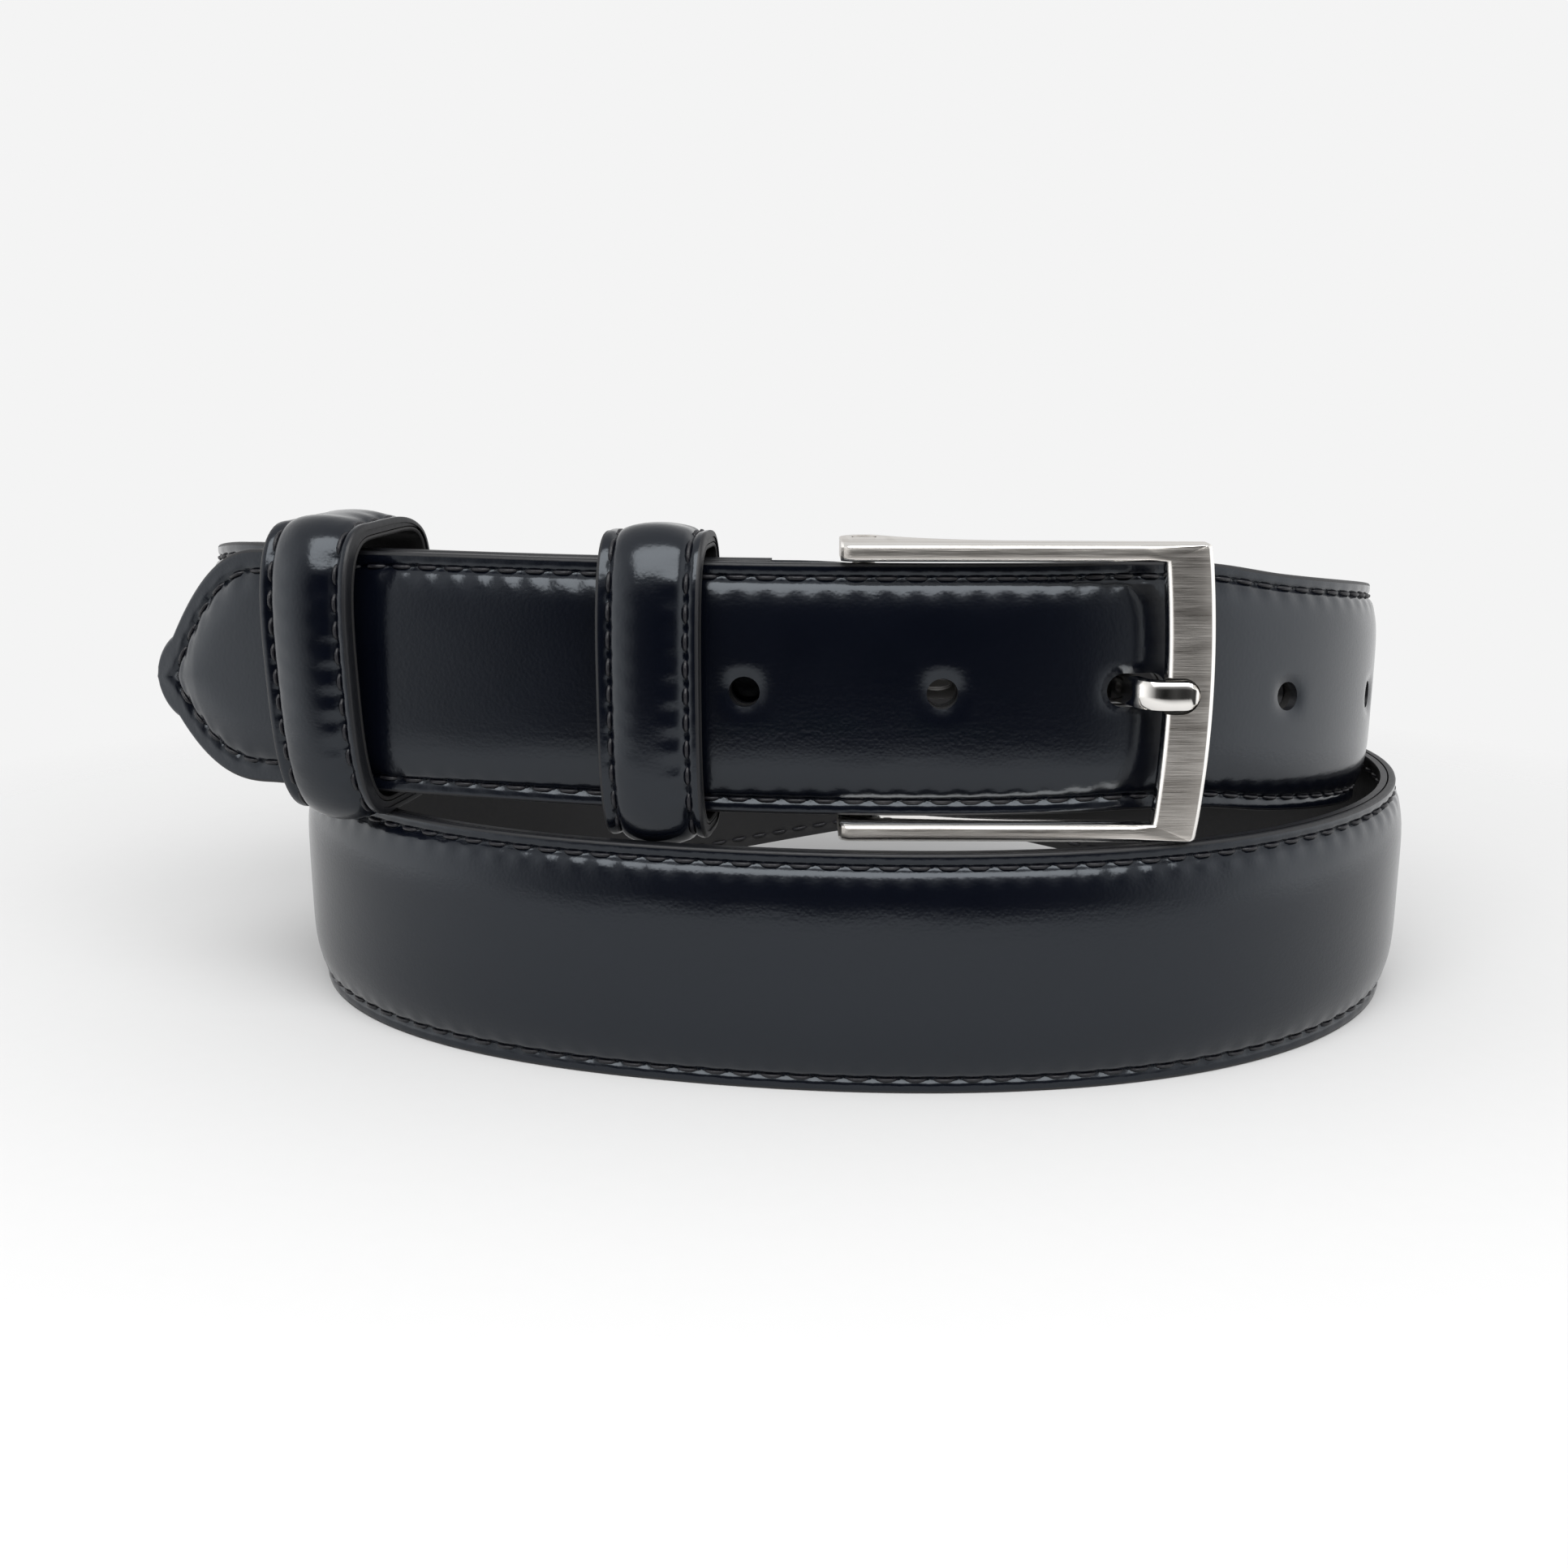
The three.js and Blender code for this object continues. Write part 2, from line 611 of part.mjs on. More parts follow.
// The origin is under the middle of the coil, on the surface it stands on.
const box = new THREE.Box3().setFromObject(belt);
const middle = box.getCenter(new THREE.Vector3());
belt.position.set(-middle.x, -middle.y, -box.min.z);

export default belt;
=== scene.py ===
"""A padded leather dress belt, buckled and coiled in two turns, standing on its edge."""

import math

import bmesh
import bpy
import numpy as np
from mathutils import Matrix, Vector


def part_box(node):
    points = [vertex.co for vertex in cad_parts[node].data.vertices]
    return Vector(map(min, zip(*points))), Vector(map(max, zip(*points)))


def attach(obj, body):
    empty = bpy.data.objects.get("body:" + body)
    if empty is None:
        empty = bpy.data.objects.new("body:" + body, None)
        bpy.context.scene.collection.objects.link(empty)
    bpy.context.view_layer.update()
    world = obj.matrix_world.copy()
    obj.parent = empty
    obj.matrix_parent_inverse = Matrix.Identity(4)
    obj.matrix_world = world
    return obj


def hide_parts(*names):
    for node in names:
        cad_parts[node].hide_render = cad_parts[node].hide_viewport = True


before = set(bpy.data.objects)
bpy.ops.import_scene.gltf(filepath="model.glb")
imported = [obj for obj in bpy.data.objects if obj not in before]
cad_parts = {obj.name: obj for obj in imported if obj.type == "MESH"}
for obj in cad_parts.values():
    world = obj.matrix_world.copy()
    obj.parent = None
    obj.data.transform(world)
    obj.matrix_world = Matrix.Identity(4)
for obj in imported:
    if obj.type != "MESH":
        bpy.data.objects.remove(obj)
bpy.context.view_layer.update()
MM = 0.001

# ---------- driving dimensions, millimetres, as in the part's source ----------

WIDTH = 32.0
RIM = 2.2
CROWN = 1.5
SKIN = 1.0
STRAP_LENGTH = 943.5
TIP_LENGTH = 18.5
TIP_ROUNDING = 6.5
TAB_LENGTH = 46.0
HOLE_PITCH = 24.4
MIDDLE_HOLE = 808.0
START_HEADING = 176.0
BAR_RADIUS = 1.45

BENDS = [
    (0, 1.7), (62, 2.6), (76, 9.0), (88, 22.0), (104, 19.0), (130, 16.1), (165, 3.9), (210, 3.4),
    (285, 6.5), (320, 16.8), (360, 10.7), (420, 5.2), (465, 2.9), (515, 11.2), (560, 18.6),
    (600, 4.6), (690, 3.8), (730, 19.7), (770, 12.8), (790, 5.4), (810, 10.0), (835, 2.7), (970, 1.9),
]
HEIGHTS = [
    (0, 35.2), (30, 35.2), (62, 35.3), (84, 35.2), (104, 33.0), (140, 26), (210, 13.5), (285, 2.2),
    (315, 0), (575, 0), (605, 1.6), (660, 10), (712, 20.5), (742, 26.2), (760, 28.9), (784, 32.2),
    (800, 34.7), (812, 35.2), (850, 35.2), (897, 35.4), (924, 35.0), (943.5, 32.4),
]

FRAME_OPENING = 32.9
FRAME_ARM = 2.3
BAR_NEAR, BAR_FAR, BAR_BOW = 36.0, 41.8, 1.2
BAR_BACK, BAR_FACE = 5.6, 8.4
LUG_RADIUS = 3.1
PRONG_WIDTH, PRONG_DEPTH, PRONG_EYE = 3.7, 2.0, 2.85

KEEPER_WIDTH = 13.0
FIXED_KEEPER = dict(at=868.0, back=-6.35, centre=-1.2, front=4.3, half=17.3, front_square=2.9,
                    back_square=9.0, lift=0.0, tilt=0.0)
FREE_KEEPER = dict(at=913.0, back=-13.2, centre=-0.8, front=4.9, half=17.25, front_square=2.9,
                   back_square=9.0, lift=0.3, tilt=-3.0)

# ---------- sewing and punching, millimetres ----------

STEPS_A_STITCH = 5
STEP = HOLE_PITCH / 33              # one row of the strap's mesh
STITCH = STEP * STEPS_A_STITCH      # from one needle hole to the next
THREAD = 0.27                       # radius of the sewing thread
BODY_INSET, TIP_INSET = 1.85, 2.9   # seam to edge, along the strap and round its tip
SEAM_DEPTH = 0.34
KEEPER_INSET = 1.65
KEEPER_STITCH = 3.3
BORE = 1.95                         # radius of a punched hole
ROW = 0.7                           # rows of the mesh across the middle of the strap


def smooth(edge0, edge1, value):
    """0 before edge0, 1 after edge1, an even curve between them."""
    t = np.clip((value - edge0) / (edge1 - edge0), 0.0, 1.0)
    return t * t * (3.0 - 2.0 * t)


def bell(value, width):
    """1 at 0, falling to nothing a few widths away."""
    return np.exp(-(value / width) ** 2)


# ---------- the strap's route ----------

def glide(stations, at):
    """A smooth curve through stations that never overshoots them."""
    s = np.array([p[0] for p in stations], float)
    v = np.array([p[1] for p in stations], float)
    slope = np.diff(v) / np.diff(s)
    tangent = np.zeros(len(s))
    rising = slope[:-1] * slope[1:] > 0
    total = np.where(rising, slope[:-1] + slope[1:], 1.0)
    tangent[1:-1] = np.where(rising, 2.0 * slope[:-1] * slope[1:] / total, 0.0)
    at = np.clip(at, s[0], s[-1])
    i = np.clip(np.searchsorted(s, at, side="right") - 1, 0, len(s) - 2)
    run = s[i + 1] - s[i]
    t = (at - s[i]) / run
    ends = v[i] * (1 + 2 * t) * (1 - t) ** 2 + v[i + 1] * t * t * (3 - 2 * t)
    return ends + run * (tangent[i] * t * (1 - t) ** 2 - tangent[i + 1] * t * t * (1 - t))


class Route:
    """Where the strap's middle runs, by distance from the buckle's pivot bar."""

    MARCH = 0.5

    def __init__(self):
        low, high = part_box("pivot_bar")
        self.bar = (np.array(low) + np.array(high)) / 2.0 / MM
        self.s = np.arange(0.0, STRAP_LENGTH + 6.6, self.MARCH)
        knots = [p[0] for p in BENDS]
        turn = np.interp(self.s + self.MARCH / 2, knots, [p[1] for p in BENDS])
        turn = np.radians(turn / 10.0) * self.MARCH
        self.heading = math.radians(START_HEADING) - np.concatenate([[0.0], np.cumsum(turn)[:-1]])
        middle = self.heading - turn / 2
        self.x = self.bar[0] + np.concatenate([[0.0], np.cumsum(np.cos(middle) * self.MARCH)[:-1]])
        self.y = self.bar[1] + np.concatenate([[0.0], np.cumsum(np.sin(middle) * self.MARCH)[:-1]])
        self.z = glide(HEIGHTS, self.s) + WIDTH / 2

    def axes(self, s):
        """Middle of the strap at s, the way it runs, and the way its face looks."""
        heading = np.interp(s, self.s, self.heading)
        middle = np.stack([np.interp(s, self.s, v) for v in (self.x, self.y, self.z)], -1)
        flat = np.zeros_like(heading)
        along = np.stack([np.cos(heading), np.sin(heading), flat], -1)
        out = np.stack([-np.sin(heading), np.cos(heading), flat], -1)
        return middle, along, out

    def place(self, s, w, n):
        """Points at distance s, w across from the middle and n out of the strap's middle layer."""
        s, w, n = np.broadcast_arrays(np.asarray(s, float), w, n)
        middle, _, out = self.axes(s)
        points = middle + out * n[..., None]
        points[..., 2] += w
        return points


route = Route()

# ---------- mesh makers ----------


def piece(name, points, faces, finishes, finish_of=None, crease=38.0):
    """A new object from points in millimetres; finish_of gives each face's place in finishes."""
    mesh = bpy.data.meshes.new(name)
    mesh.from_pydata((np.asarray(points) * MM).tolist(), [], faces)
    for finish in finishes:
        mesh.materials.append(finish)
    if finish_of is not None:
        mesh.polygons.foreach_set("material_index", np.asarray(finish_of, dtype=np.int32))
    mesh.polygons.foreach_set("use_smooth", np.ones(len(mesh.polygons), dtype=bool))
    mesh.update()
    mesh.set_sharp_from_angle(angle=math.radians(crease))
    made = bpy.data.objects.new(name, mesh)
    bpy.context.scene.collection.objects.link(made)
    return made


def slab(top, bottom, keep=None, looped=False):
    """Points and faces of a sheet with thickness from two grids of points, (rows, columns, 3).

    keep says which cells are there; walls close the sheet round every cell that isn't.
    Each face also gets a kind: 0 on the top, 1 underneath, 2 on a wall.
    """
    rows, columns = top.shape[:2]
    spans = rows if looped else rows - 1
    if keep is None:
        keep = np.ones((spans, columns - 1), bool)
    index = np.arange(rows * columns).reshape(rows, columns)
    after = np.roll(index, -1, axis=0) if looped else index[1:]
    here = index if looped else index[:-1]
    a, b = here[:spans, :-1][keep], here[:spans, 1:][keep]
    c, d = after[:spans, 1:][keep], after[:spans, :-1][keep]
    under = rows * columns
    faces = [np.stack([a, d, c, b], 1), np.stack([a, b, c, d], 1) + under]
    kinds = [np.zeros(len(a), int), np.ones(len(a), int)]

    padded_keep = np.pad(keep, ((0, 0), (1, 1)))
    walls = []
    for shift, first in ((1, True), (-1, False)):
        neighbour = np.roll(padded_keep, shift, axis=1)[:, 1:-1]
        open_side = keep & ~neighbour
        i, j = np.nonzero(open_side)
        j = j if first else j + 1
        p, q = here[i, j], after[i, j]
        walls.append((p, q) if first else (q, p))
    if looped:
        before, behind = np.roll(keep, 1, axis=0), np.roll(keep, -1, axis=0)
    else:
        tall = np.pad(keep, ((1, 1), (0, 0)))
        before, behind = tall[:-2], tall[2:]
    i, j = np.nonzero(keep & ~before)
    walls.append((here[i, j + 1], here[i, j]))
    i, j = np.nonzero(keep & ~behind)
    walls.append((after[i, j], after[i, j + 1]))
    for p, q in walls:
        faces.append(np.stack([p, p + under, q + under, q], 1))
        kinds.append(np.full(len(p), 2))
    points = np.concatenate([top.reshape(-1, 3), bottom.reshape(-1, 3)])
    return points, np.concatenate(faces).tolist(), np.concatenate(kinds)


def sweep(rings, looped=False):
    """Points and faces of a closed solid through rings of points, (rings, corners, 3)."""
    count, size = rings.shape[:2]
    index = np.arange(count * size).reshape(count, size)
    after = np.roll(index, -1, axis=0)
    beside = np.roll(index, -1, axis=1)
    corner = np.roll(after, -1, axis=1)
    spans = count if looped else count - 1
    sides = np.stack([index, beside, corner, after], -1)[:spans].reshape(-1, 4)
    faces = sides.tolist()
    if not looped:
        faces.append(index[0][::-1].tolist())
        faces.append(index[-1].tolist())
    return rings.reshape(-1, 3), faces


def tidy_normals(made):
    """Turns every face of a closed piece outwards."""
    work = bmesh.new()
    work.from_mesh(made.data)
    bmesh.ops.recalc_face_normals(work, faces=work.faces)
    work.to_mesh(made.data)
    work.free()


def carve(made, cutter):
    """Cuts one solid out of another and removes the cutter."""
    tidy_normals(made)
    tidy_normals(cutter)
    knife = made.modifiers.new("carve", "BOOLEAN")
    knife.operation = "DIFFERENCE"
    knife.solver = "EXACT"
    knife.object = cutter
    graph = bpy.context.evaluated_depsgraph_get()
    graph.update()
    carved = bpy.data.meshes.new_from_object(made.evaluated_get(graph))
    made.modifiers.remove(knife)
    made.data = carved
    bpy.data.objects.remove(cutter)


def sew(name, place, holes, thread_finish, radius=THREAD, rise=0.16):
    """Stitches between neighbouring needle holes; place(p, lift) gives points along the seam."""
    start, end = holes[:-1], holes[1:]
    gap = 0.42
    t = np.array([-1.0, -0.82, -0.45, 0.0, 0.45, 0.82, 1.0])
    fat = np.array([0.5, 0.9, 1.0, 1.0, 1.0, 0.9, 0.5]) * radius
    middle = (start + end)[:, None] / 2
    p = middle + t[None, :] * ((end - start)[:, None] / 2 - gap)
    lift = rise * (1 - np.abs(t) ** 2.5) - 0.42 * np.abs(t) ** 3
    lift = np.broadcast_to(lift, p.shape)
    core = place(p, lift)
    ahead = place(p + 0.05, lift) - place(p - 0.05, lift)
    up = place(p, lift + 0.1) - core
    ahead /= np.linalg.norm(ahead, axis=-1, keepdims=True)
    up /= np.linalg.norm(up, axis=-1, keepdims=True)
    side = np.cross(ahead, up)
    angles = np.arange(6) / 6 * 2 * math.pi
    rings = (core[:, :, None, :]
             + side[:, :, None, :] * (np.cos(angles)[None, None, :, None] * fat[None, :, None, None])
             + up[:, :, None, :] * (np.sin(angles)[None, None, :, None] * fat[None, :, None, None]))
    points, faces, offset = [], [], 0
    for stitch in rings:
        ring_points, ring_faces = sweep(stitch)
        points.append(ring_points)
        faces += [[corner + offset for corner in face] for face in ring_faces]
        offset += len(ring_points)
    return piece(name, np.concatenate(points), faces, [thread_finish], crease=80)


# ---------- finishes ----------


class Value:
    """One output of a finish's nodes, used in sums as if it were a number."""

    def __init__(self, finish, socket):
        self.finish = finish
        self.socket = socket

    def sum(self, operation, first, second):
        return self.finish.node("ShaderNodeMath", {"operation": operation}, {0: first, 1: second})

    def __add__(self, other):
        return self.sum("ADD", self, other)

    def __sub__(self, other):
        return self.sum("SUBTRACT", self, other)

    def __rsub__(self, other):
        return self.sum("SUBTRACT", other, self)

    def __mul__(self, other):
        return self.sum("MULTIPLY", self, other)

    def __truediv__(self, other):
        return self.sum("DIVIDE", self, other)

    def __pow__(self, other):
        return self.sum("POWER", self, other)

    __radd__ = __add__
    __rmul__ = __mul__


class Finish:
    """A material made of nodes round one Principled shader."""

    def __init__(self, name):
        self.material = bpy.data.materials.new(name)
        self.material.use_nodes = True
        self.tree = self.material.node_tree
        self.shader = self.tree.nodes["Principled BSDF"]

    def node(self, kind, settings=None, inputs=None, output=0):
        """Adds a node of any kind, sets it up, feeds its sockets and returns one output."""
        made = self.tree.nodes.new(kind)
        for key, value in (settings or {}).items():
            if key == "stops":
                while len(made.color_ramp.elements) < len(value):
                    made.color_ramp.elements.new(1.0)
                for element, (position, shade) in zip(made.color_ramp.elements, value):
                    element.position = position
                    element.color = (shade, shade, shade, 1.0)
            else:
                setattr(made, key, value)
        for key, value in (inputs or {}).items():
            self.feed(made.inputs[key], value)
        return Value(self, made.outputs[output])

    def feed(self, socket, value):
        if isinstance(value, Value):
            self.tree.links.new(value.socket, socket)
        else:
            socket.default_value = value

    def shade(self, **values):
        """Sets the shader's own sockets, by name with _ for a space."""
        for key, value in values.items():
            self.feed(self.shader.inputs[key.replace("_", " ")], value)

    def where(self, stretch=(1.0, 1.0, 1.0)):
        """Places on the object in metres, stretched by a factor along each axis."""
        spots = self.node("ShaderNodeTexCoord", output="Object")
        return self.node("ShaderNodeVectorMath", {"operation": "MULTIPLY"}, {0: spots, 1: stretch})

    def noise(self, size, detail=2.0, roughness=0.5, stretch=(1.0, 1.0, 1.0)):
        """Cloudy noise from 0 to 1 with blotches of the given size in millimetres."""
        return self.node("ShaderNodeTexNoise", None, {
            "Vector": self.where(stretch), "Scale": 1000.0 / size, "Detail": detail, "Roughness": roughness,
        })

    def pebbles(self, size):
        """Distance to the middle of the nearest of many small cells."""
        return self.node("ShaderNodeTexVoronoi", {"feature": "SMOOTH_F1"}, {
            "Vector": self.where(), "Scale": 1000.0 / size,
        })

    def ramp(self, value, stops):
        return self.node("ShaderNodeValToRGB", {"stops": stops}, {"Fac": value})

    def blend(self, amount, first, second):
        """A colour between two others."""
        return self.node("ShaderNodeMix", {"data_type": "RGBA"}, {
            "Factor": amount, 6: first, 7: second,
        }, output=2)

    def bump(self, height, depth, strength=1.0):
        """Raises the surface by height, from 0 to 1, times depth in millimetres."""
        self.shade(Normal=self.node("ShaderNodeBump", None, {
            "Height": height, "Distance": depth * MM, "Strength": strength,
        }))


def polished_calf():
    """Glossy black calf with a fine grain and a faint unevenness in its polish."""
    f = Finish("black_calf")
    grain = f.pebbles(0.42)
    cloud = f.noise(9.0, detail=3.0)
    fine = f.noise(0.5, detail=3.0, roughness=0.6)
    f.shade(Base_Color=f.blend(cloud, (0.0012, 0.0018, 0.0042, 1), (0.0022, 0.003, 0.0062, 1)))
    f.shade(Roughness=0.13 + 0.05 * cloud + 0.05 * fine)
    f.shade(IOR=1.5, Specular_Tint=(0.86, 0.93, 1.0, 1.0))
    wrinkle = f.noise(1.5, detail=2.0, stretch=(0.45, 0.45, 1.6))
    f.bump(grain * 0.4 + fine * 0.3 + wrinkle * 0.6, 0.025)
    return f.material


def matt_edge():
    """Black edge paint: duller than the leather, with a slight orange peel."""
    f = Finish("painted_edge")
    peel = f.noise(0.7, detail=2.0)
    f.shade(Base_Color=f.blend(peel, (0.003, 0.0035, 0.005, 1), (0.006, 0.0065, 0.009, 1)))
    f.shade(Roughness=0.42 + 0.12 * peel, IOR=1.48)
    f.bump(peel, 0.03)
    return f.material


def lining_calf():
    """Smooth black lining leather with open pores."""
    f = Finish("black_lining")
    pores = f.pebbles(0.6)
    cloud = f.noise(14.0, detail=3.0)
    f.shade(Base_Color=f.blend(cloud, (0.007, 0.007, 0.008, 1), (0.013, 0.0125, 0.013, 1)))
    f.shade(Roughness=0.48 + 0.12 * cloud, IOR=1.45)
    f.bump(pores, 0.03)
    return f.material


def waxed_thread():
    """Black waxed thread with the twist of its plies."""
    f = Finish("waxed_thread")
    plies = f.noise(0.22, detail=1.0)
    f.shade(Base_Color=f.blend(plies, (0.002, 0.002, 0.004, 1), (0.008, 0.008, 0.012, 1)))
    f.shade(Roughness=0.38 + 0.15 * plies, IOR=1.48)
    f.bump(plies, 0.05)
    return f.material


def dark_filler():
    """Bonded leather filler, dyed through, seen only inside the punched holes."""
    f = Finish("bonded_filler")
    fibre = f.noise(0.8, detail=4.0, roughness=0.7)
    f.shade(Base_Color=f.blend(fibre, (0.004, 0.004, 0.004, 1), (0.014, 0.013, 0.012, 1)))
    f.shade(Roughness=0.75 + 0.15 * fibre)
    f.bump(fibre, 0.12)
    return f.material


def brushed_nickel():
    """Satin nickel, brushed along the belt."""
    f = Finish("brushed_nickel")
    streaks = f.noise(0.16, detail=3.0, roughness=0.65, stretch=(0.02, 1.0, 1.0))
    bands = f.noise(1.4, detail=2.0, stretch=(0.06, 1.0, 1.0))
    shade = f.ramp(streaks * 0.6 + bands * 0.4, [(0.3, 0.0), (0.7, 1.0)])
    f.shade(Base_Color=f.blend(shade, (0.36, 0.33, 0.30, 1), (0.74, 0.71, 0.67, 1)))
    f.shade(Metallic=1.0, Roughness=0.24 + 0.2 * shade)
    f.bump(streaks, 0.02)
    return f.material


def polished_nickel():
    """Mirror-bright nickel plate with faint polishing haze."""
    f = Finish("polished_nickel")
    haze = f.noise(3.0, detail=3.0)
    f.shade(Base_Color=f.blend(haze, (0.78, 0.76, 0.73, 1), (0.86, 0.84, 0.81, 1)))
    f.shade(Metallic=1.0, Roughness=0.06 + 0.08 * haze)
    f.bump(haze, 0.004)
    return f.material


def paper_floor():
    """Plain pale floor, fading out with distance from the belt."""
    f = Finish("pale_floor")
    tooth = f.noise(3.0, detail=2.0)
    f.shade(Base_Color=f.blend(tooth, (0.65, 0.65, 0.65, 1), (0.66, 0.66, 0.66, 1)))
    f.shade(Roughness=0.9, Specular_IOR_Level=0.0)
    spots = f.node("ShaderNodeTexCoord", output="Object")
    away = f.node("ShaderNodeVectorMath", {"operation": "LENGTH"}, {0: spots}, output=1)
    f.shade(Alpha=f.ramp(away * 2.0, [(0.28, 1.0), (0.46, 0.0)]))
    return f.material


CALF = polished_calf()
EDGE = matt_edge()
LINING = lining_calf()
THREADS = waxed_thread()
FILLER = dark_filler()
NICKEL = brushed_nickel()
BRIGHT = polished_nickel()

# ---------- strap ----------


def half_width(s):
    """Half the strap's width at s, narrowing to the rounded point of its tip."""
    from_tip = np.clip(STRAP_LENGTH - s, 0.0, TIP_LENGTH)
    pointed = WIDTH / 2 * (1 - (1 - from_tip / TIP_LENGTH) ** 2.2)
    rounded = np.sqrt(np.maximum(0.0, from_tip * (2 * TIP_ROUNDING - from_tip)))
    return np.where(from_tip < TIP_ROUNDING, np.maximum(pointed, rounded), pointed)


def outline_slant(s):
    """How many times longer the strap's outline is than the strap itself at s."""
    from_tip = np.clip(STRAP_LENGTH - s, 0.0, TIP_LENGTH)
    slope = WIDTH / 2 * 2.2 / TIP_LENGTH * (1 - from_tip / TIP_LENGTH) ** 1.2
    return np.sqrt(1 + np.where(s > STRAP_LENGTH - TIP_LENGTH, slope, 0.0) ** 2)


def seam_inset(s):
    return BODY_INSET + (TIP_INSET - BODY_INSET) * smooth(903, 925, s)


def seam_line():
    """The seam on the strap's upper half: distance along the strap, from its middle, and sewn."""
    s = np.arange(13.0, STRAP_LENGTH, 0.1)
    w = half_width(s) - seam_inset(s) * outline_slant(s)
    s, w = s[w > 0], w[w > 0]
    sewn = np.concatenate([[0.0], np.cumsum(np.hypot(np.diff(s), np.diff(w)))])
    sewn -= np.interp(MIDDLE_HOLE, s, sewn)
    return s, w, sewn


seam_s, seam_w, seam_p = seam_line()


def crown_at(s):
    near_tip = np.minimum(1.0, half_width(s) / (WIDTH * 0.36))
    return CROWN * smooth(9, 28, s) * near_tip


def seam_relief(q, stitches, scallop):
    """Height of the leather near a seam, q inside it, stitches counted along it."""
    beside_hole = np.abs(stitches - np.round(stitches)) * STITCH
    puff = 0.5 - 0.5 * np.cos(2 * math.pi * stitches)
    groove = -SEAM_DEPTH * bell(q, 0.42)
    needle = -0.26 * bell(q, 0.36) * bell(beside_hole, 0.42)
    inside = scallop * (puff - 0.35) * bell(q - 1.05, 0.85)
    outside = 0.3 * scallop * (puff - 0.4) * bell(q + 0.8, 0.55)
    return groove + needle + inside + outside


def rolled_edge(e, radius=0.42):
    """How far the surface rolls down at distance e from an edge."""
    t = np.clip(1 - e / radius, 0.0, 1.0)
    return -radius * (1 - np.sqrt(np.maximum(0.0, 1 - t * t)))


def face_height(s, w):
    """How far the strap's face stands out of its middle layer."""
    edge = (half_width(s) - np.abs(w)) / outline_slant(s)
    q = edge - seam_inset(s)
    reach = WIDTH / 2 - BODY_INSET
    rise = 1 - (1 - np.clip((q - 0.25) / reach, 0.0, 1.0)) ** 5.5
    stitches = np.interp(s, seam_s, seam_p) / STITCH
    wander = 0.035 * np.sin(s * 0.31 + 1.7 * np.sin(s * 0.083)) * bell(q - 3.0, 2.5)
    return (RIM / 2 + crown_at(s) * rise + rolled_edge(edge)
            + seam_relief(q, stitches, 0.17) + wander * np.sign(w + 0.01))


def strap_rows(step=STEP):
    """Distances of the strap's mesh rows, with one through the middle of each hole."""
    first = MIDDLE_HOLE - math.floor((MIDDLE_HOLE - 11.0) / step) * step
    body = np.arange(first, STRAP_LENGTH - TIP_LENGTH, step)
    tip = STRAP_LENGTH - TIP_LENGTH * (1 - np.linspace(0, 1, 56)[1:-1] ** 0.8)
    return np.concatenate([body, tip, [STRAP_LENGTH - 0.03]])


def strap_columns():
    """Distances across the strap, closest together beside the edges and seams."""
    middle = np.arange(-11, 12) * ROW
    edge = [0, 0.07, 0.2, 0.42, 0.8, 1.2, 1.48, 1.68, 1.85, 2.02, 2.22, 2.5, 2.85, 3.3, 3.9, 4.7, 5.7, 6.9]
    right = WIDTH / 2 - np.array(edge)
    return np.concatenate([-right, middle, right[::-1]])


def punched(s, w, drawn):
    """Moves the mesh's points round the holes; also gives the drop at them and where they are.

    drawn says how the prong has drawn out the middle hole: rows towards the tip, and how far.
    """
    drop = np.zeros_like(s)
    inside = np.zeros(s.shape, bool)
    cells = 3
    for number in (-2, -1, 0, 1, 2):
        centre = MIDDLE_HOLE + number * HOLE_PITCH
        bore, slack, spare = BORE, 0.0, 0.0
        if number == 0:
            centre += drawn[0] * STEP
            bore, slack, spare = BORE + 0.2, drawn[1], 3 * STEP
        away = s - centre
        held = np.clip(away, -spare, spare)
        dx = (away - held) / (cells * STEP)
        dw = w / (cells * ROW)
        ring = np.maximum(np.abs(dx), np.abs(dw))
        near = ring < 3.0
        far = np.maximum(np.hypot(dx, dw), 1e-6)
        out = bore + (ring - 1) * 1.75
        shifted = held * (slack / spare if spare else 1.0)
        mix = 1 - smooth(1.0, 3.0, ring)
        new_s = centre + shifted + out * dx / far
        new_w = out * dw / far
        s = np.where(near, s + (new_s - s) * mix, s)
        w = np.where(near, w + (new_w - w) * mix, w)
        dent = -0.4 * bell(np.maximum(ring - 1, 0), 0.3) - 0.08 * bell(ring - 1.4, 0.3)
        drop = np.where(near, dent, drop)
        inside |= ring < 0.999
    return s, w, drop, inside


def strap_grid(rows, columns, drawn):
    """Places (s, w) of the strap's mesh, the drop at its holes and the cells they leave out."""
    s, v = np.meshgrid(rows, columns, indexing="ij")
    s, v, drop, inside = punched(s, v, drawn)
    w = v * half_width(s) / (WIDTH / 2)
    hole = inside[:-1, :-1] | inside[1:, :-1] | inside[:-1, 1:] | inside[1:, 1:]
    return s, w, drop, ~hole


def edge_cells(faces_kind, columns_count, rim, keep):
    """Finish of each slab face: 1 on walls and within rim columns of the long edges, else 0."""
    wide = columns_count - 1
    column = np.broadcast_to(np.arange(wide), keep.shape)[keep]
    near = (column < rim) | (column >= wide - rim)
    finish = np.ones(len(faces_kind), int)
    finish[:len(near)] = near
    return finish


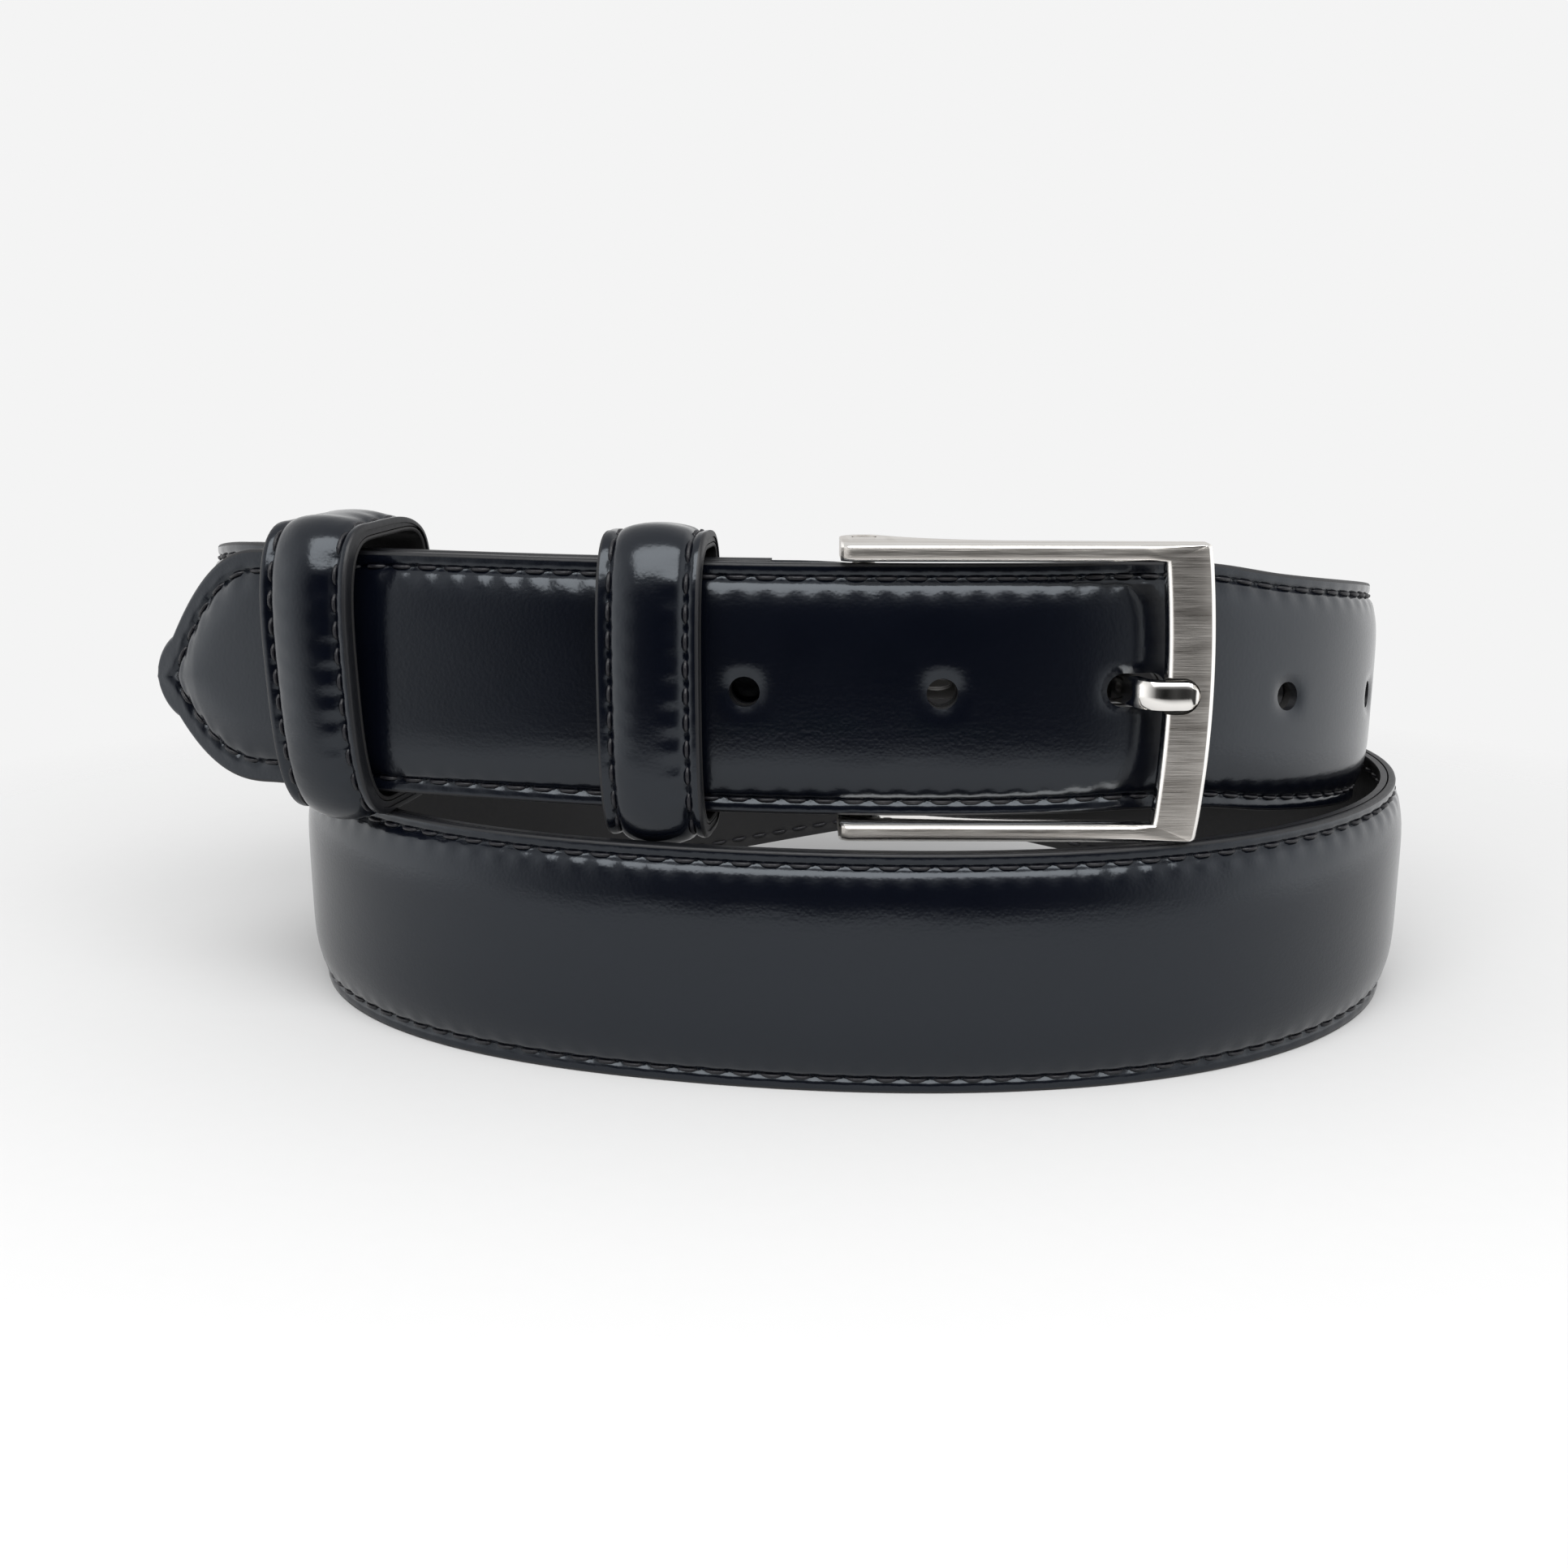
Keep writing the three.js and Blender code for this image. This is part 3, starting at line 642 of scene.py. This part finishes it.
def fold_path():
    """The face leather's skived end, seen from above: behind the strap, round the bar, forward."""
    middle = RIM / 2 - SKIN / 2
    wrap = BAR_RADIUS + 0.3 + SKIN / 2
    behind = -4.55
    path = [(TAB_LENGTH - step, behind) for step in np.arange(0, TAB_LENGTH - 7.5, 1.5)]
    path += [(6.0, behind + 0.35), (4.0, (behind - wrap) / 2 - 0.15), (2.0, -wrap - 0.25)]
    turns = [math.radians(degrees) for degrees in range(-88, 89, 11)]
    path += [(-wrap * math.cos(turn), wrap * math.sin(turn)) for turn in turns]
    path += [(2.0, wrap - 0.05), (4.0, (middle + wrap) / 2 + 0.25), (6.0, middle + 0.3)]
    path += [(8.0, middle + 0.1), (9.5, middle), (11.2, middle)]
    places = []
    for s, n in path:
        centre, along, out = route.axes(max(0.0, s))
        places.append(centre + along * min(0.0, s) + out * n)
    return np.array(places)


def fold_of_the_strap():
    """Grids of the fold's outer and inner surface, and its cells less the prong's slot."""
    places = fold_path()
    ahead = np.gradient(places[:, :2], axis=0)
    ahead /= np.linalg.norm(ahead, axis=1, keepdims=True)
    out = np.stack([-ahead[:, 1], ahead[:, 0], np.zeros(len(places))], 1)
    half = WIDTH / 2 - 0.8
    side = np.array([2.45, 4.5, 8, 12, half - 1, half - 0.4, half - 0.1, half])
    across = np.concatenate([-side[::-1], side])
    rounding = rolled_edge(half - np.abs(across))
    outer = places[:, None, :] + out[:, None, :] * (SKIN / 2 + rounding)[None, :, None]
    inner = places[:, None, :] - out[:, None, :] * (SKIN / 2 + rounding * 0.6)[None, :, None]
    level = route.place(0.0, 0.0, 0.0)[2]
    outer[..., 2] = level + across
    inner[..., 2] = level + across
    keep = np.ones((len(places) - 1, len(across) - 1), bool)
    from_bar = np.abs((places[:-1, 0] + places[1:, 0]) / 2 - (route.bar[0] + 0.9))
    keep[from_bar < 4.6, 7] = False
    return outer, inner, keep


def strap_leather():
    """The face leather: crowned, stitched and punched, with the fold that holds the buckle."""
    columns = strap_columns()
    s, w, drop, keep = strap_grid(strap_rows(), columns, drawn=(0, 1.85))
    height = face_height(s, w) + drop
    thickest = 1.15
    lower = np.maximum(RIM / 2 - SKIN, height - thickest)
    tuck = np.zeros(len(columns))
    tuck[[0, -1]] = (-0.12, 0.12)
    points, faces, kinds = slab(route.place(s, w, height), route.place(s, w - tuck, lower), keep)
    own_finish = edge_cells(kinds, len(columns), 3, keep)
    own_finish[kinds == 1] = 1
    fold_points, fold_faces, fold_kinds = slab(*fold_of_the_strap())
    count = len(points)
    faces += [[corner + count for corner in face] for face in fold_faces]
    finish = np.concatenate([own_finish, np.where(fold_kinds == 2, 1, 0)])
    made = piece("strap_leather", np.concatenate([points, fold_points]), faces, [CALF, EDGE], finish)
    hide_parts("strap_face")
    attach(made, "strap")


def lining_height(s, w):
    """How far the lining's own surface lies behind the strap's middle layer."""
    edge = (half_width(s) - np.abs(w)) / outline_slant(s)
    stitches = np.interp(s, seam_s, seam_p) / STITCH
    return RIM / 2 + rolled_edge(edge, 0.35) + 0.6 * seam_relief(edge - seam_inset(s), stitches, 0.05)


def strap_lining():
    """The lining leather on the inside of the coil."""
    edge = np.array([0, 0.1, 0.35, 0.9, 1.5, 1.85, 2.2, 2.8, 4.5])
    right = WIDTH / 2 - edge
    columns = np.concatenate([-right, np.arange(-14, 15) * ROW, right[::-1]])
    s, w, _, keep = strap_grid(strap_rows(), columns, drawn=(1, 2.9))
    w = w * 0.992
    under = -lining_height(s, w)
    upper = np.full_like(under, RIM / 2 - SKIN - 0.2)
    points, faces, kinds = slab(route.place(s, w, upper), route.place(s, w, under), keep)
    finish = np.where(kinds == 2, 1, 0)
    made = piece("strap_lining_leather", points, faces, [LINING, EDGE], finish)
    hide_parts("strap_lining")
    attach(made, "strap")


def needle_holes():
    """Distances sewn at which the needle went through, up to the very tip."""
    first = math.ceil(seam_p[0] / STITCH)
    last = math.floor(seam_p[-1] / STITCH)
    holes = np.arange(first, last + 1) * STITCH
    return np.append(holes, seam_p[-1]) if seam_p[-1] - holes[-1] > 1.6 else holes


def strap_stitches():
    """The seam round the whole strap, on its face and on its lining."""
    for face, name in ((1, "strap_stitches_front"), (-1, "strap_stitches_back")):
        for side, which in ((1, "upper"), (-1, "lower")):
            def place(p, lift):
                s = np.interp(p, seam_p, seam_s)
                w = np.interp(p, seam_p, seam_w) * side
                deep = SEAM_DEPTH if face > 0 else SEAM_DEPTH * 0.6
                return route.place(s, w, face * (RIM / 2 - deep + 0.12 + lift))
            made = sew(f"{name}_{which}", place, needle_holes(), THREADS)
            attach(made, "strap")


# ---------- keepers ----------


class Loop:
    """Inner surface of a keeper seen along the strap, evenly spaced by distance round it."""

    def __init__(self, keeper, count):
        self.keeper = keeper
        angle = np.linspace(-math.pi, math.pi, 6001)
        ahead = np.cos(angle) > 0
        depth = np.where(ahead, keeper["front"] - keeper["centre"], keeper["centre"] - keeper["back"])
        power = 2 / np.where(ahead, keeper["front_square"], keeper["back_square"])
        n = keeper["centre"] + np.sign(np.cos(angle)) * depth * np.abs(np.cos(angle)) ** power
        w = np.sign(np.sin(angle)) * keeper["half"] * np.abs(np.sin(angle)) ** power
        round_it = np.concatenate([[0.0], np.cumsum(np.hypot(np.diff(n), np.diff(w)))])
        self.length = round_it[-1]
        self.count = count
        self.p = np.arange(count) / count * self.length
        self.n = np.interp(self.p, round_it, n)
        self.w = np.interp(self.p, round_it, w)
        for _ in range(3):
            self.n = (np.roll(self.n, 1) + 2 * self.n + np.roll(self.n, -1)) / 4
            self.w = (np.roll(self.w, 1) + 2 * self.w + np.roll(self.w, -1)) / 4
        dn = np.roll(self.n, -1) - np.roll(self.n, 1)
        dw = np.roll(self.w, -1) - np.roll(self.w, 1)
        size = np.hypot(dn, dw)
        self.out_n, self.out_w = dw / size, -dn / size
        self.front = smooth(-0.55, 0.3, np.cos(np.interp(self.p, round_it, angle)))
        middle, along, out = route.axes(keeper["at"])
        self.middle, self.along, self.out = middle, along, out

    def at(self, p, values):
        return np.interp(p, np.append(self.p, self.length), np.append(values, values[0]), period=self.length)

    def place(self, p, y, distance):
        """Points p round the loop, y along the strap and some distance outside its inner surface."""
        p, y, distance = np.broadcast_arrays(p, y, distance)
        n = self.at(p, self.n) + self.at(p, self.out_n) * distance
        w = self.at(p, self.w) + self.at(p, self.out_w) * distance
        lean = math.radians(self.keeper["tilt"])
        centre = self.keeper["centre"]
        turned_n = centre + (n - centre) * math.cos(lean) - w * math.sin(lean)
        turned_w = (n - centre) * math.sin(lean) + w * math.cos(lean) + self.keeper["lift"]
        points = self.middle + turned_n[..., None] * self.out + y[..., None] * self.along
        points[..., 2] += turned_w
        return points


def keeper_edge(front):
    """Thickness of all the keeper's layers at its stitched edges."""
    return 1.4 + 1.1 * front


def keeper_height(loop, p, y):
    """Outer surface of a keeper, outside its inner surface."""
    front = loop.at(p, loop.front)
    edge = KEEPER_WIDTH / 2 - np.abs(y)
    q = edge - KEEPER_INSET
    rise = 1 - (1 - np.clip((q - 0.15) / (KEEPER_WIDTH / 2 - KEEPER_INSET), 0, 1)) ** 2.4
    pad = 0.12 + 1.15 * front
    stitches = p / loop.pitch
    crease = 0.05 * np.sin(p * 1.9 + np.sign(y) * 1.3) * bell(q - 1.6, 1.2)
    return (keeper_edge(front) + pad * rise + rolled_edge(edge, 0.4)
            + seam_relief(q, stitches, 0.07) + crease)


def keeper(name, shape, body):
    """One keeper: face leather, filler, lining and the two seams that hold them together."""
    loop = Loop(shape, 210)
    loop.pitch = loop.length / round(loop.length / KEEPER_STITCH)
    half = KEEPER_WIDTH / 2
    inset = np.array([0, 0.07, 0.2, 0.42, 0.8, 1.15, 1.42, 1.65, 1.88, 2.2, 2.6, 3.1, 3.7, 4.4, 5.2, 5.9])
    columns = np.concatenate([-half + inset, [0], (half - inset)[::-1]])
    p, y = np.meshgrid(loop.p, columns, indexing="ij")
    front = loop.at(p, loop.front)

    outer = keeper_height(loop, p, y)
    inner = np.maximum(0.8 + 0.85 * front, outer - 1.0 - 0.2 * front)
    points, faces, kinds = slab(loop.place(p, y, outer), loop.place(p, y, inner), looped=True)
    finish = edge_cells(kinds, len(columns), 3, np.ones((loop.count, len(columns) - 1), bool))
    finish[kinds == 1] = 1
    leather = piece(f"{name}_leather", points, faces, [CALF, EDGE], finish)
    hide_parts(f"{name}_face")
    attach(leather, body)

    inset = np.array([0, 0.12, 0.35, 1.2, 3.0])
    columns = np.concatenate([-half + inset, [0], (half - inset)[::-1]]) * 0.985
    p, y = np.meshgrid(loop.p, columns, indexing="ij")
    rolled = rolled_edge(columns[-1] - np.abs(y), 0.3)
    points, faces, kinds = slab(loop.place(p, y, 0.62 + rolled), loop.place(p, y, -rolled), looped=True)
    lining = piece(f"{name}_lining_leather", points, faces, [LINING, EDGE], np.where(kinds == 2, 1, 0))
    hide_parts(f"{name}_lining")
    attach(lining, body)

    ahead = np.nonzero(loop.front > 0.02)[0]
    p, y = np.meshgrid(loop.p[ahead], columns * 0.99, indexing="ij")
    front = loop.at(p, loop.front)
    points, faces, kinds = slab(loop.place(p, y, 0.75 + 0.85 * front), loop.place(p, y, 0.7))
    filler = piece(f"{name}_filler", points, faces, [EDGE, FILLER], np.where(kinds == 2, 0, 1))
    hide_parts(f"{name}_pad")
    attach(filler, body)

    holes = np.arange(0, round(loop.length / loop.pitch) + 1) * loop.pitch
    for side, which in ((1, "near"), (-1, "far")):
        def place(p, lift):
            deep = keeper_edge(loop.at(p, loop.front)) - SEAM_DEPTH
            return loop.place(p, side * (half - KEEPER_INSET), deep + 0.12 + lift)
        stitches = sew(f"{name}_stitches_{which}", place, holes, THREADS)
        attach(stitches, body)
    return loop


def keeper_staple(loop):
    """The wire staple over the butted ends of the sliding keeper."""
    middle_of_back = 0.0
    reach = 3.7
    path = [(-reach, 0.9), (-reach, 1.75), (-reach + 0.3, 2.15), (-reach + 1.0, 2.25), (0.0, 2.28),
            (reach - 1.0, 2.25), (reach - 0.3, 2.15), (reach, 1.75), (reach, 0.9)]
    spots = np.array([loop.place(middle_of_back, y, distance) for y, distance in path])
    return wire("free_keeper_staple_wire", spots, 0.34, 12, BRIGHT)


def wire(name, spots, radius, sides, finish):
    """A round wire through spots."""
    ahead = np.gradient(spots, axis=0)
    ahead /= np.linalg.norm(ahead, axis=1, keepdims=True)
    side = np.cross(ahead, [0.0, 0.0, 1.0])
    side /= np.maximum(np.linalg.norm(side, axis=1, keepdims=True), 1e-6)
    up = np.cross(side, ahead)
    angles = np.arange(sides) / sides * 2 * math.pi
    rings = (spots[:, None, :] + side[:, None, :] * (np.cos(angles) * radius)[None, :, None]
             + up[:, None, :] * (np.sin(angles) * radius)[None, :, None])
    points, faces = sweep(rings)
    return piece(name, points, faces, [finish], crease=50)


# ---------- buckle ----------


def at_bar(x, y, z):
    """From the buckle's own axes: along from the pivot bar, out of the face, and across."""
    x, y, z = np.broadcast_arrays(np.asarray(x, float), y, z)
    return np.stack([route.bar[0] + x, route.bar[1] - y, route.bar[2] - z], -1)


def arm_outline():
    """Upper and lower line of an arm, seen from its side, at distances along it."""
    t = np.linspace(0, 1, 40)
    top = np.array([[-LUG_RADIUS, BAR_FACE - 1.6], [-LUG_RADIUS + 0.3, BAR_FACE - 0.9],
                    [-LUG_RADIUS + 1.2, BAR_FACE - 0.4], [BAR_FAR, BAR_FACE]])
    turn = np.linspace(math.pi, 1.75 * math.pi, 30)
    lug = np.stack([LUG_RADIUS * np.cos(turn), LUG_RADIUS * np.sin(turn)], 1)
    start = lug[-1]
    x_low = (1 - t) ** 2 * start[0] + 2 * t * (1 - t) * 7 + t * t * 18
    y_low = (1 - t) ** 2 * start[1] + 2 * t * (1 - t) * 2.8 + t * t * 4.3
    rise = np.stack([x_low, y_low], 1)[1:]
    low = np.array([*lug, *rise, [BAR_FAR - 8, BAR_BACK - 0.4], [BAR_FAR, BAR_BACK]])
    return top, low


def bevelled_ring(inner, outer, back, face, bevel, chamfer=0.3, soft=0.1):
    """Corners of one cross-section of the frame: inner and outer are (x, z) of its two sides."""
    inner, outer = np.array(inner, float), np.array(outer, float)
    width = np.linalg.norm(outer - inner)
    corners = [(bevel, face), (width - bevel, face), (width, face - bevel), (width, back + chamfer),
               (width - chamfer, back), (chamfer, back), (0, back + chamfer), (0, face - bevel)]
    ring = []
    for k, corner in enumerate(corners):
        corner = np.array(corner, float)
        for other in (np.array(corners[k - 1], float), np.array(corners[(k + 1) % 8], float)):
            way = other - corner
            ring.append(corner + way * min(0.4, soft / max(np.linalg.norm(way), 1e-6)))
    direction = (outer - inner) / width
    ring = np.array(ring)
    spot = inner[None, :] + direction[None, :] * ring[:, :1]
    return at_bar(spot[:, 0], ring[:, 1], spot[:, 1])


def frame_sections():
    """Cross-sections of the frame from the end of one arm, round the front bar, to the other."""
    top, low = arm_outline()
    inside, outside = FRAME_OPENING / 2, FRAME_OPENING / 2 + FRAME_ARM
    lug = -LUG_RADIUS * np.cos(np.linspace(0.12, math.pi / 2, 9))
    stations = np.concatenate([lug, np.linspace(0.8, 34, 34)])
    arm = []
    for x in stations:
        face = np.interp(x, top[:, 0], top[:, 1])
        back = np.interp(x, low[:, 0], low[:, 1])
        bevel = min(0.5, (face - back) * 0.2)
        arm.append(((x, inside), (x, outside), back, face, bevel))
    corner_radius = 0.7
    corner = []
    near = BAR_NEAR + BAR_BOW * (1 - (inside / outside) ** 2)
    for angle in np.linspace(0, math.pi / 2, 7):
        outer = (BAR_FAR - corner_radius + corner_radius * math.sin(angle),
                 outside - corner_radius + corner_radius * math.cos(angle))
        corner.append(((near, inside), outer, BAR_BACK, BAR_FACE, 0.5))
    middle = []
    for z in np.linspace(inside - 0.5, 0, 24):
        shift = BAR_BOW * (1 - (z / outside) ** 2)
        middle.append(((BAR_NEAR + shift, z), (BAR_FAR + shift, z), BAR_BACK, BAR_FACE, 0.55))
    side = arm + corner + middle
    other = [((a[0], -a[1]), (b[0], -b[1]), back, face, bevel) for a, b, back, face, bevel in side[-2::-1]]
    return side + other


def buckle_frame():
    """The U of the buckle: satin faces, polished bevels, a notch for the prong."""
    sections = frame_sections()
    rings = np.array([bevelled_ring(*section) for section in sections])
    points, faces = sweep(rings)
    around = np.tile(np.arange(16), len(sections) - 1)
    bright = np.isin(around, (2, 3, 4, 14, 15, 13, 12))
    finish = np.append(bright.astype(int), [0, 0])
    made = piece("buckle_frame_cast", points, faces, [NICKEL, BRIGHT], finish, crease=28)
    notch_width = PRONG_WIDTH + 0.9
    tip_at = BAR_FAR + BAR_BOW - 1.75
    reach = np.concatenate([
        [(BAR_NEAR - 3, notch_width / 2)],
        [(tip_at - notch_width / 2 + notch_width / 2 * math.sin(a), notch_width / 2 * math.cos(a))
         for a in np.linspace(0, math.pi, 21)],
        [(BAR_NEAR - 3, -notch_width / 2)],
    ])
    floor, lid = BAR_FACE - 1.45, BAR_FACE + 2
    cutter_rings = np.array([at_bar(reach[:, 0], level, reach[:, 1]) for level in (floor, lid)])
    cutter = piece("notch_cutter", *sweep(cutter_rings), [BRIGHT])
    carve(made, cutter)
    turn = np.linspace(0, 2 * math.pi, 33)[:-1]
    radius = BAR_RADIUS + 0.12
    bore = np.array([at_bar(radius * np.cos(turn), radius * np.sin(turn), z) for z in (-25, 25)])
    carve(made, piece("bar_cutter", *sweep(bore), [BRIGHT]))
    made.data.polygons.foreach_set("use_smooth", np.ones(len(made.data.polygons), dtype=bool))
    made.data.set_sharp_from_angle(angle=math.radians(28))
    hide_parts("buckle_frame")
    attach(made, "buckle")


def smooth_line(knots, count):
    """A smooth line through knots, evenly stepped."""
    knots = np.array(knots, float)
    gaps = np.linalg.norm(np.diff(knots, axis=0), axis=1)
    t = np.concatenate([[0.0], np.cumsum(gaps)])
    slope = np.gradient(knots, t, axis=0)
    at = np.linspace(0, t[-1], count)
    i = np.clip(np.searchsorted(t, at, side="right") - 1, 0, len(t) - 2)
    run = (t[i + 1] - t[i])[:, None]
    u = ((at - t[i]) / (t[i + 1] - t[i]))[:, None]
    return (knots[i] * (1 + 2 * u) * (1 - u) ** 2 + knots[i + 1] * u * u * (3 - 2 * u)
            + run * (slope[i] * u * (1 - u) ** 2 - slope[i + 1] * u * u * (1 - u)))


def prong():
    """The prong: an eye round the bar, a flat shaft, and a rounded end in the frame's notch."""
    level = BAR_FACE - 0.55
    knots = [(2.2, -0.05), (12, 0), (24, 0), (29.0, 0.1), (32.0, 1.7), (33.6, 4.5), (34.8, 6.9),
             (36.4, level), (38.8, level), (41.25, level)]
    line = smooth_line(knots, 110)
    ahead = np.gradient(line, axis=0)
    ahead /= np.linalg.norm(ahead, axis=1, keepdims=True)
    normal = np.stack([-ahead[:, 1], ahead[:, 0]], 1)
    to_end = line[-1, 0] - line[:, 0]
    blunt = np.clip(to_end / (PRONG_WIDTH / 2), 0.0, 1.0)
    width = PRONG_WIDTH / 2 * np.sqrt(np.maximum(0.02, 1 - (1 - blunt) ** 2))
    thinning = np.clip(to_end / 0.9, 0, 1)
    depth = PRONG_DEPTH / 2 * (0.55 + 0.45 * np.sqrt(np.maximum(0.0, 1 - (1 - thinning) ** 2)))
    facet = [(-0.62, 1.0), (0.62, 1.0), (0.94, 0.66), (1.0, 0.3), (1.0, -0.75), (0.86, -1.0),
             (-0.86, -1.0), (-1.0, -0.75), (-1.0, 0.3), (-0.94, 0.66)]
    rings = []
    for spot, up, half, deep in zip(line, normal, width, depth):
        ring = [at_bar(spot[0] + up[0] * b * deep, spot[1] + up[1] * b * deep, a * half) for a, b in facet]
        rings.append(ring)
    points, faces = sweep(np.array(rings))
    turn = np.linspace(0, 2 * math.pi, 49)[:-1]
    half = PRONG_WIDTH / 2
    inner, outer = BAR_RADIUS + 0.25, PRONG_EYE
    profile = [(inner, -half + 0.2), (inner + 0.2, -half), (outer - 0.35, -half), (outer, -half + 0.35),
               (outer, half - 0.35), (outer - 0.35, half), (inner + 0.2, half), (inner, half - 0.2)]
    eye = np.array([[at_bar(r * math.cos(a), r * math.sin(a), z) for r, z in profile] for a in turn])
    eye_points, eye_faces = sweep(eye, looped=True)
    faces += [[corner + len(points) for corner in face] for face in eye_faces]
    made = piece("prong_polished", np.concatenate([points, eye_points]), faces, [BRIGHT], crease=35)
    tidy_normals(made)
    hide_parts("prong")
    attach(made, "tongue")


# ---------- assembly ----------

strap_leather()
strap_lining()
strap_stitches()
keeper("fixed_keeper", FIXED_KEEPER, "strap")
free_loop = keeper("free_keeper", FREE_KEEPER, "sliding_keeper")
staple = keeper_staple(free_loop)
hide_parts("free_keeper_staple")
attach(staple, "sliding_keeper")
buckle_frame()
prong()

for node, finish in (("strap_core", FILLER), ("pivot_bar", NICKEL), ("fold_rivet_upper", BRIGHT),
                     ("fold_rivet_lower", BRIGHT)):
    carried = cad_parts[node]
    for place in carried.material_slots:
        place.material = finish

# ---------- studio ----------


def floor():
    """A pale sheet that fades away beyond the belt."""
    corners = [(-0.5, -0.5), (0.5, -0.5), (0.5, 0.5), (-0.5, 0.5)]
    mesh = bpy.data.meshes.new("floor")
    mesh.from_pydata([(x, y, 0.0) for x, y in corners], [], [(0, 1, 2, 3)])
    mesh.materials.append(paper_floor())
    made = bpy.data.objects.new("floor", mesh)
    bpy.context.scene.collection.objects.link(made)


floor()


def softbox(name, place, aim, size, radiance):
    """A rectangular light of even brightness."""
    light = bpy.data.lights.new(name, "AREA")
    light.shape = "RECTANGLE"
    light.size, light.size_y = size
    light.energy = radiance * math.pi * size[0] * size[1]
    lamp = bpy.data.objects.new(name, light)
    bpy.context.scene.collection.objects.link(lamp)
    lamp.location = place
    way = Vector(aim) - Vector(place)
    lamp.rotation_euler = way.to_track_quat("-Z", "Y").to_euler()
    lamp.visible_camera = False
    return lamp


softbox("top_light", (0.0, -0.44, 0.54), (0.0, -0.03, 0.03), (0.9, 0.44), 4.4)


class Air(Finish):
    """The studio's surroundings, made of nodes like a finish."""

    def __init__(self, tree):
        self.tree = tree


def studio_air():
    """Pale all round; lights the belt from the sides and back, and leaves the front dark."""
    world = bpy.data.worlds.new("studio")
    bpy.context.scene.world = world
    world.use_nodes = True
    tree = world.node_tree
    tree.nodes.clear()

    air = Air(tree)
    way = air.node("ShaderNodeTexCoord", output="Generated")
    parts = air.tree.nodes.new("ShaderNodeSeparateXYZ")
    air.feed(parts.inputs[0], way)
    x, y, z = (Value(air, parts.outputs[k]) for k in range(3))
    flat = (x * x + y * y + 0.0001) ** 0.5
    facing = 0.5 - 0.5 * (y / flat)
    around = air.ramp(facing, [
        (0.0, 0.62), (0.35, 0.95), (0.6, 1.0), (0.74, 0.75), (0.86, 0.3), (0.93, 0.05), (1.0, 0.01),
    ])
    above = air.ramp(z, [(0.0, 0.0), (0.25, 0.0), (0.75, 1.0)])
    light = air.blend(above, around, (0.5, 0.5, 0.5, 1.0))
    seen = air.node("ShaderNodeLightPath", output="Is Camera Ray")
    shown = air.node("ShaderNodeBackground", None, {"Color": (0.905, 0.905, 0.905, 1), "Strength": 1.0})
    lit = air.node("ShaderNodeBackground", None, {"Color": light, "Strength": 1.5})
    mixed = air.node("ShaderNodeMixShader", None, {0: seen, 1: lit, 2: shown})
    out = air.tree.nodes.new("ShaderNodeOutputWorld")
    air.feed(out.inputs["Surface"], mixed)


studio_air()

lens = bpy.data.cameras.new("camera")
lens.lens = 39.13
lens.sensor_width = 36.0
lens.clip_start = 0.01
camera = bpy.data.objects.new("camera", lens)
camera.location = (route.bar[0] * MM - 0.01, route.bar[1] * MM - 0.2144, 0.0915)
camera.rotation_euler = (math.radians(90 - 14), 0.0, 0.0)
bpy.context.scene.collection.objects.link(camera)
bpy.context.scene.camera = camera
bpy.context.scene.view_settings.view_transform = "Standard"
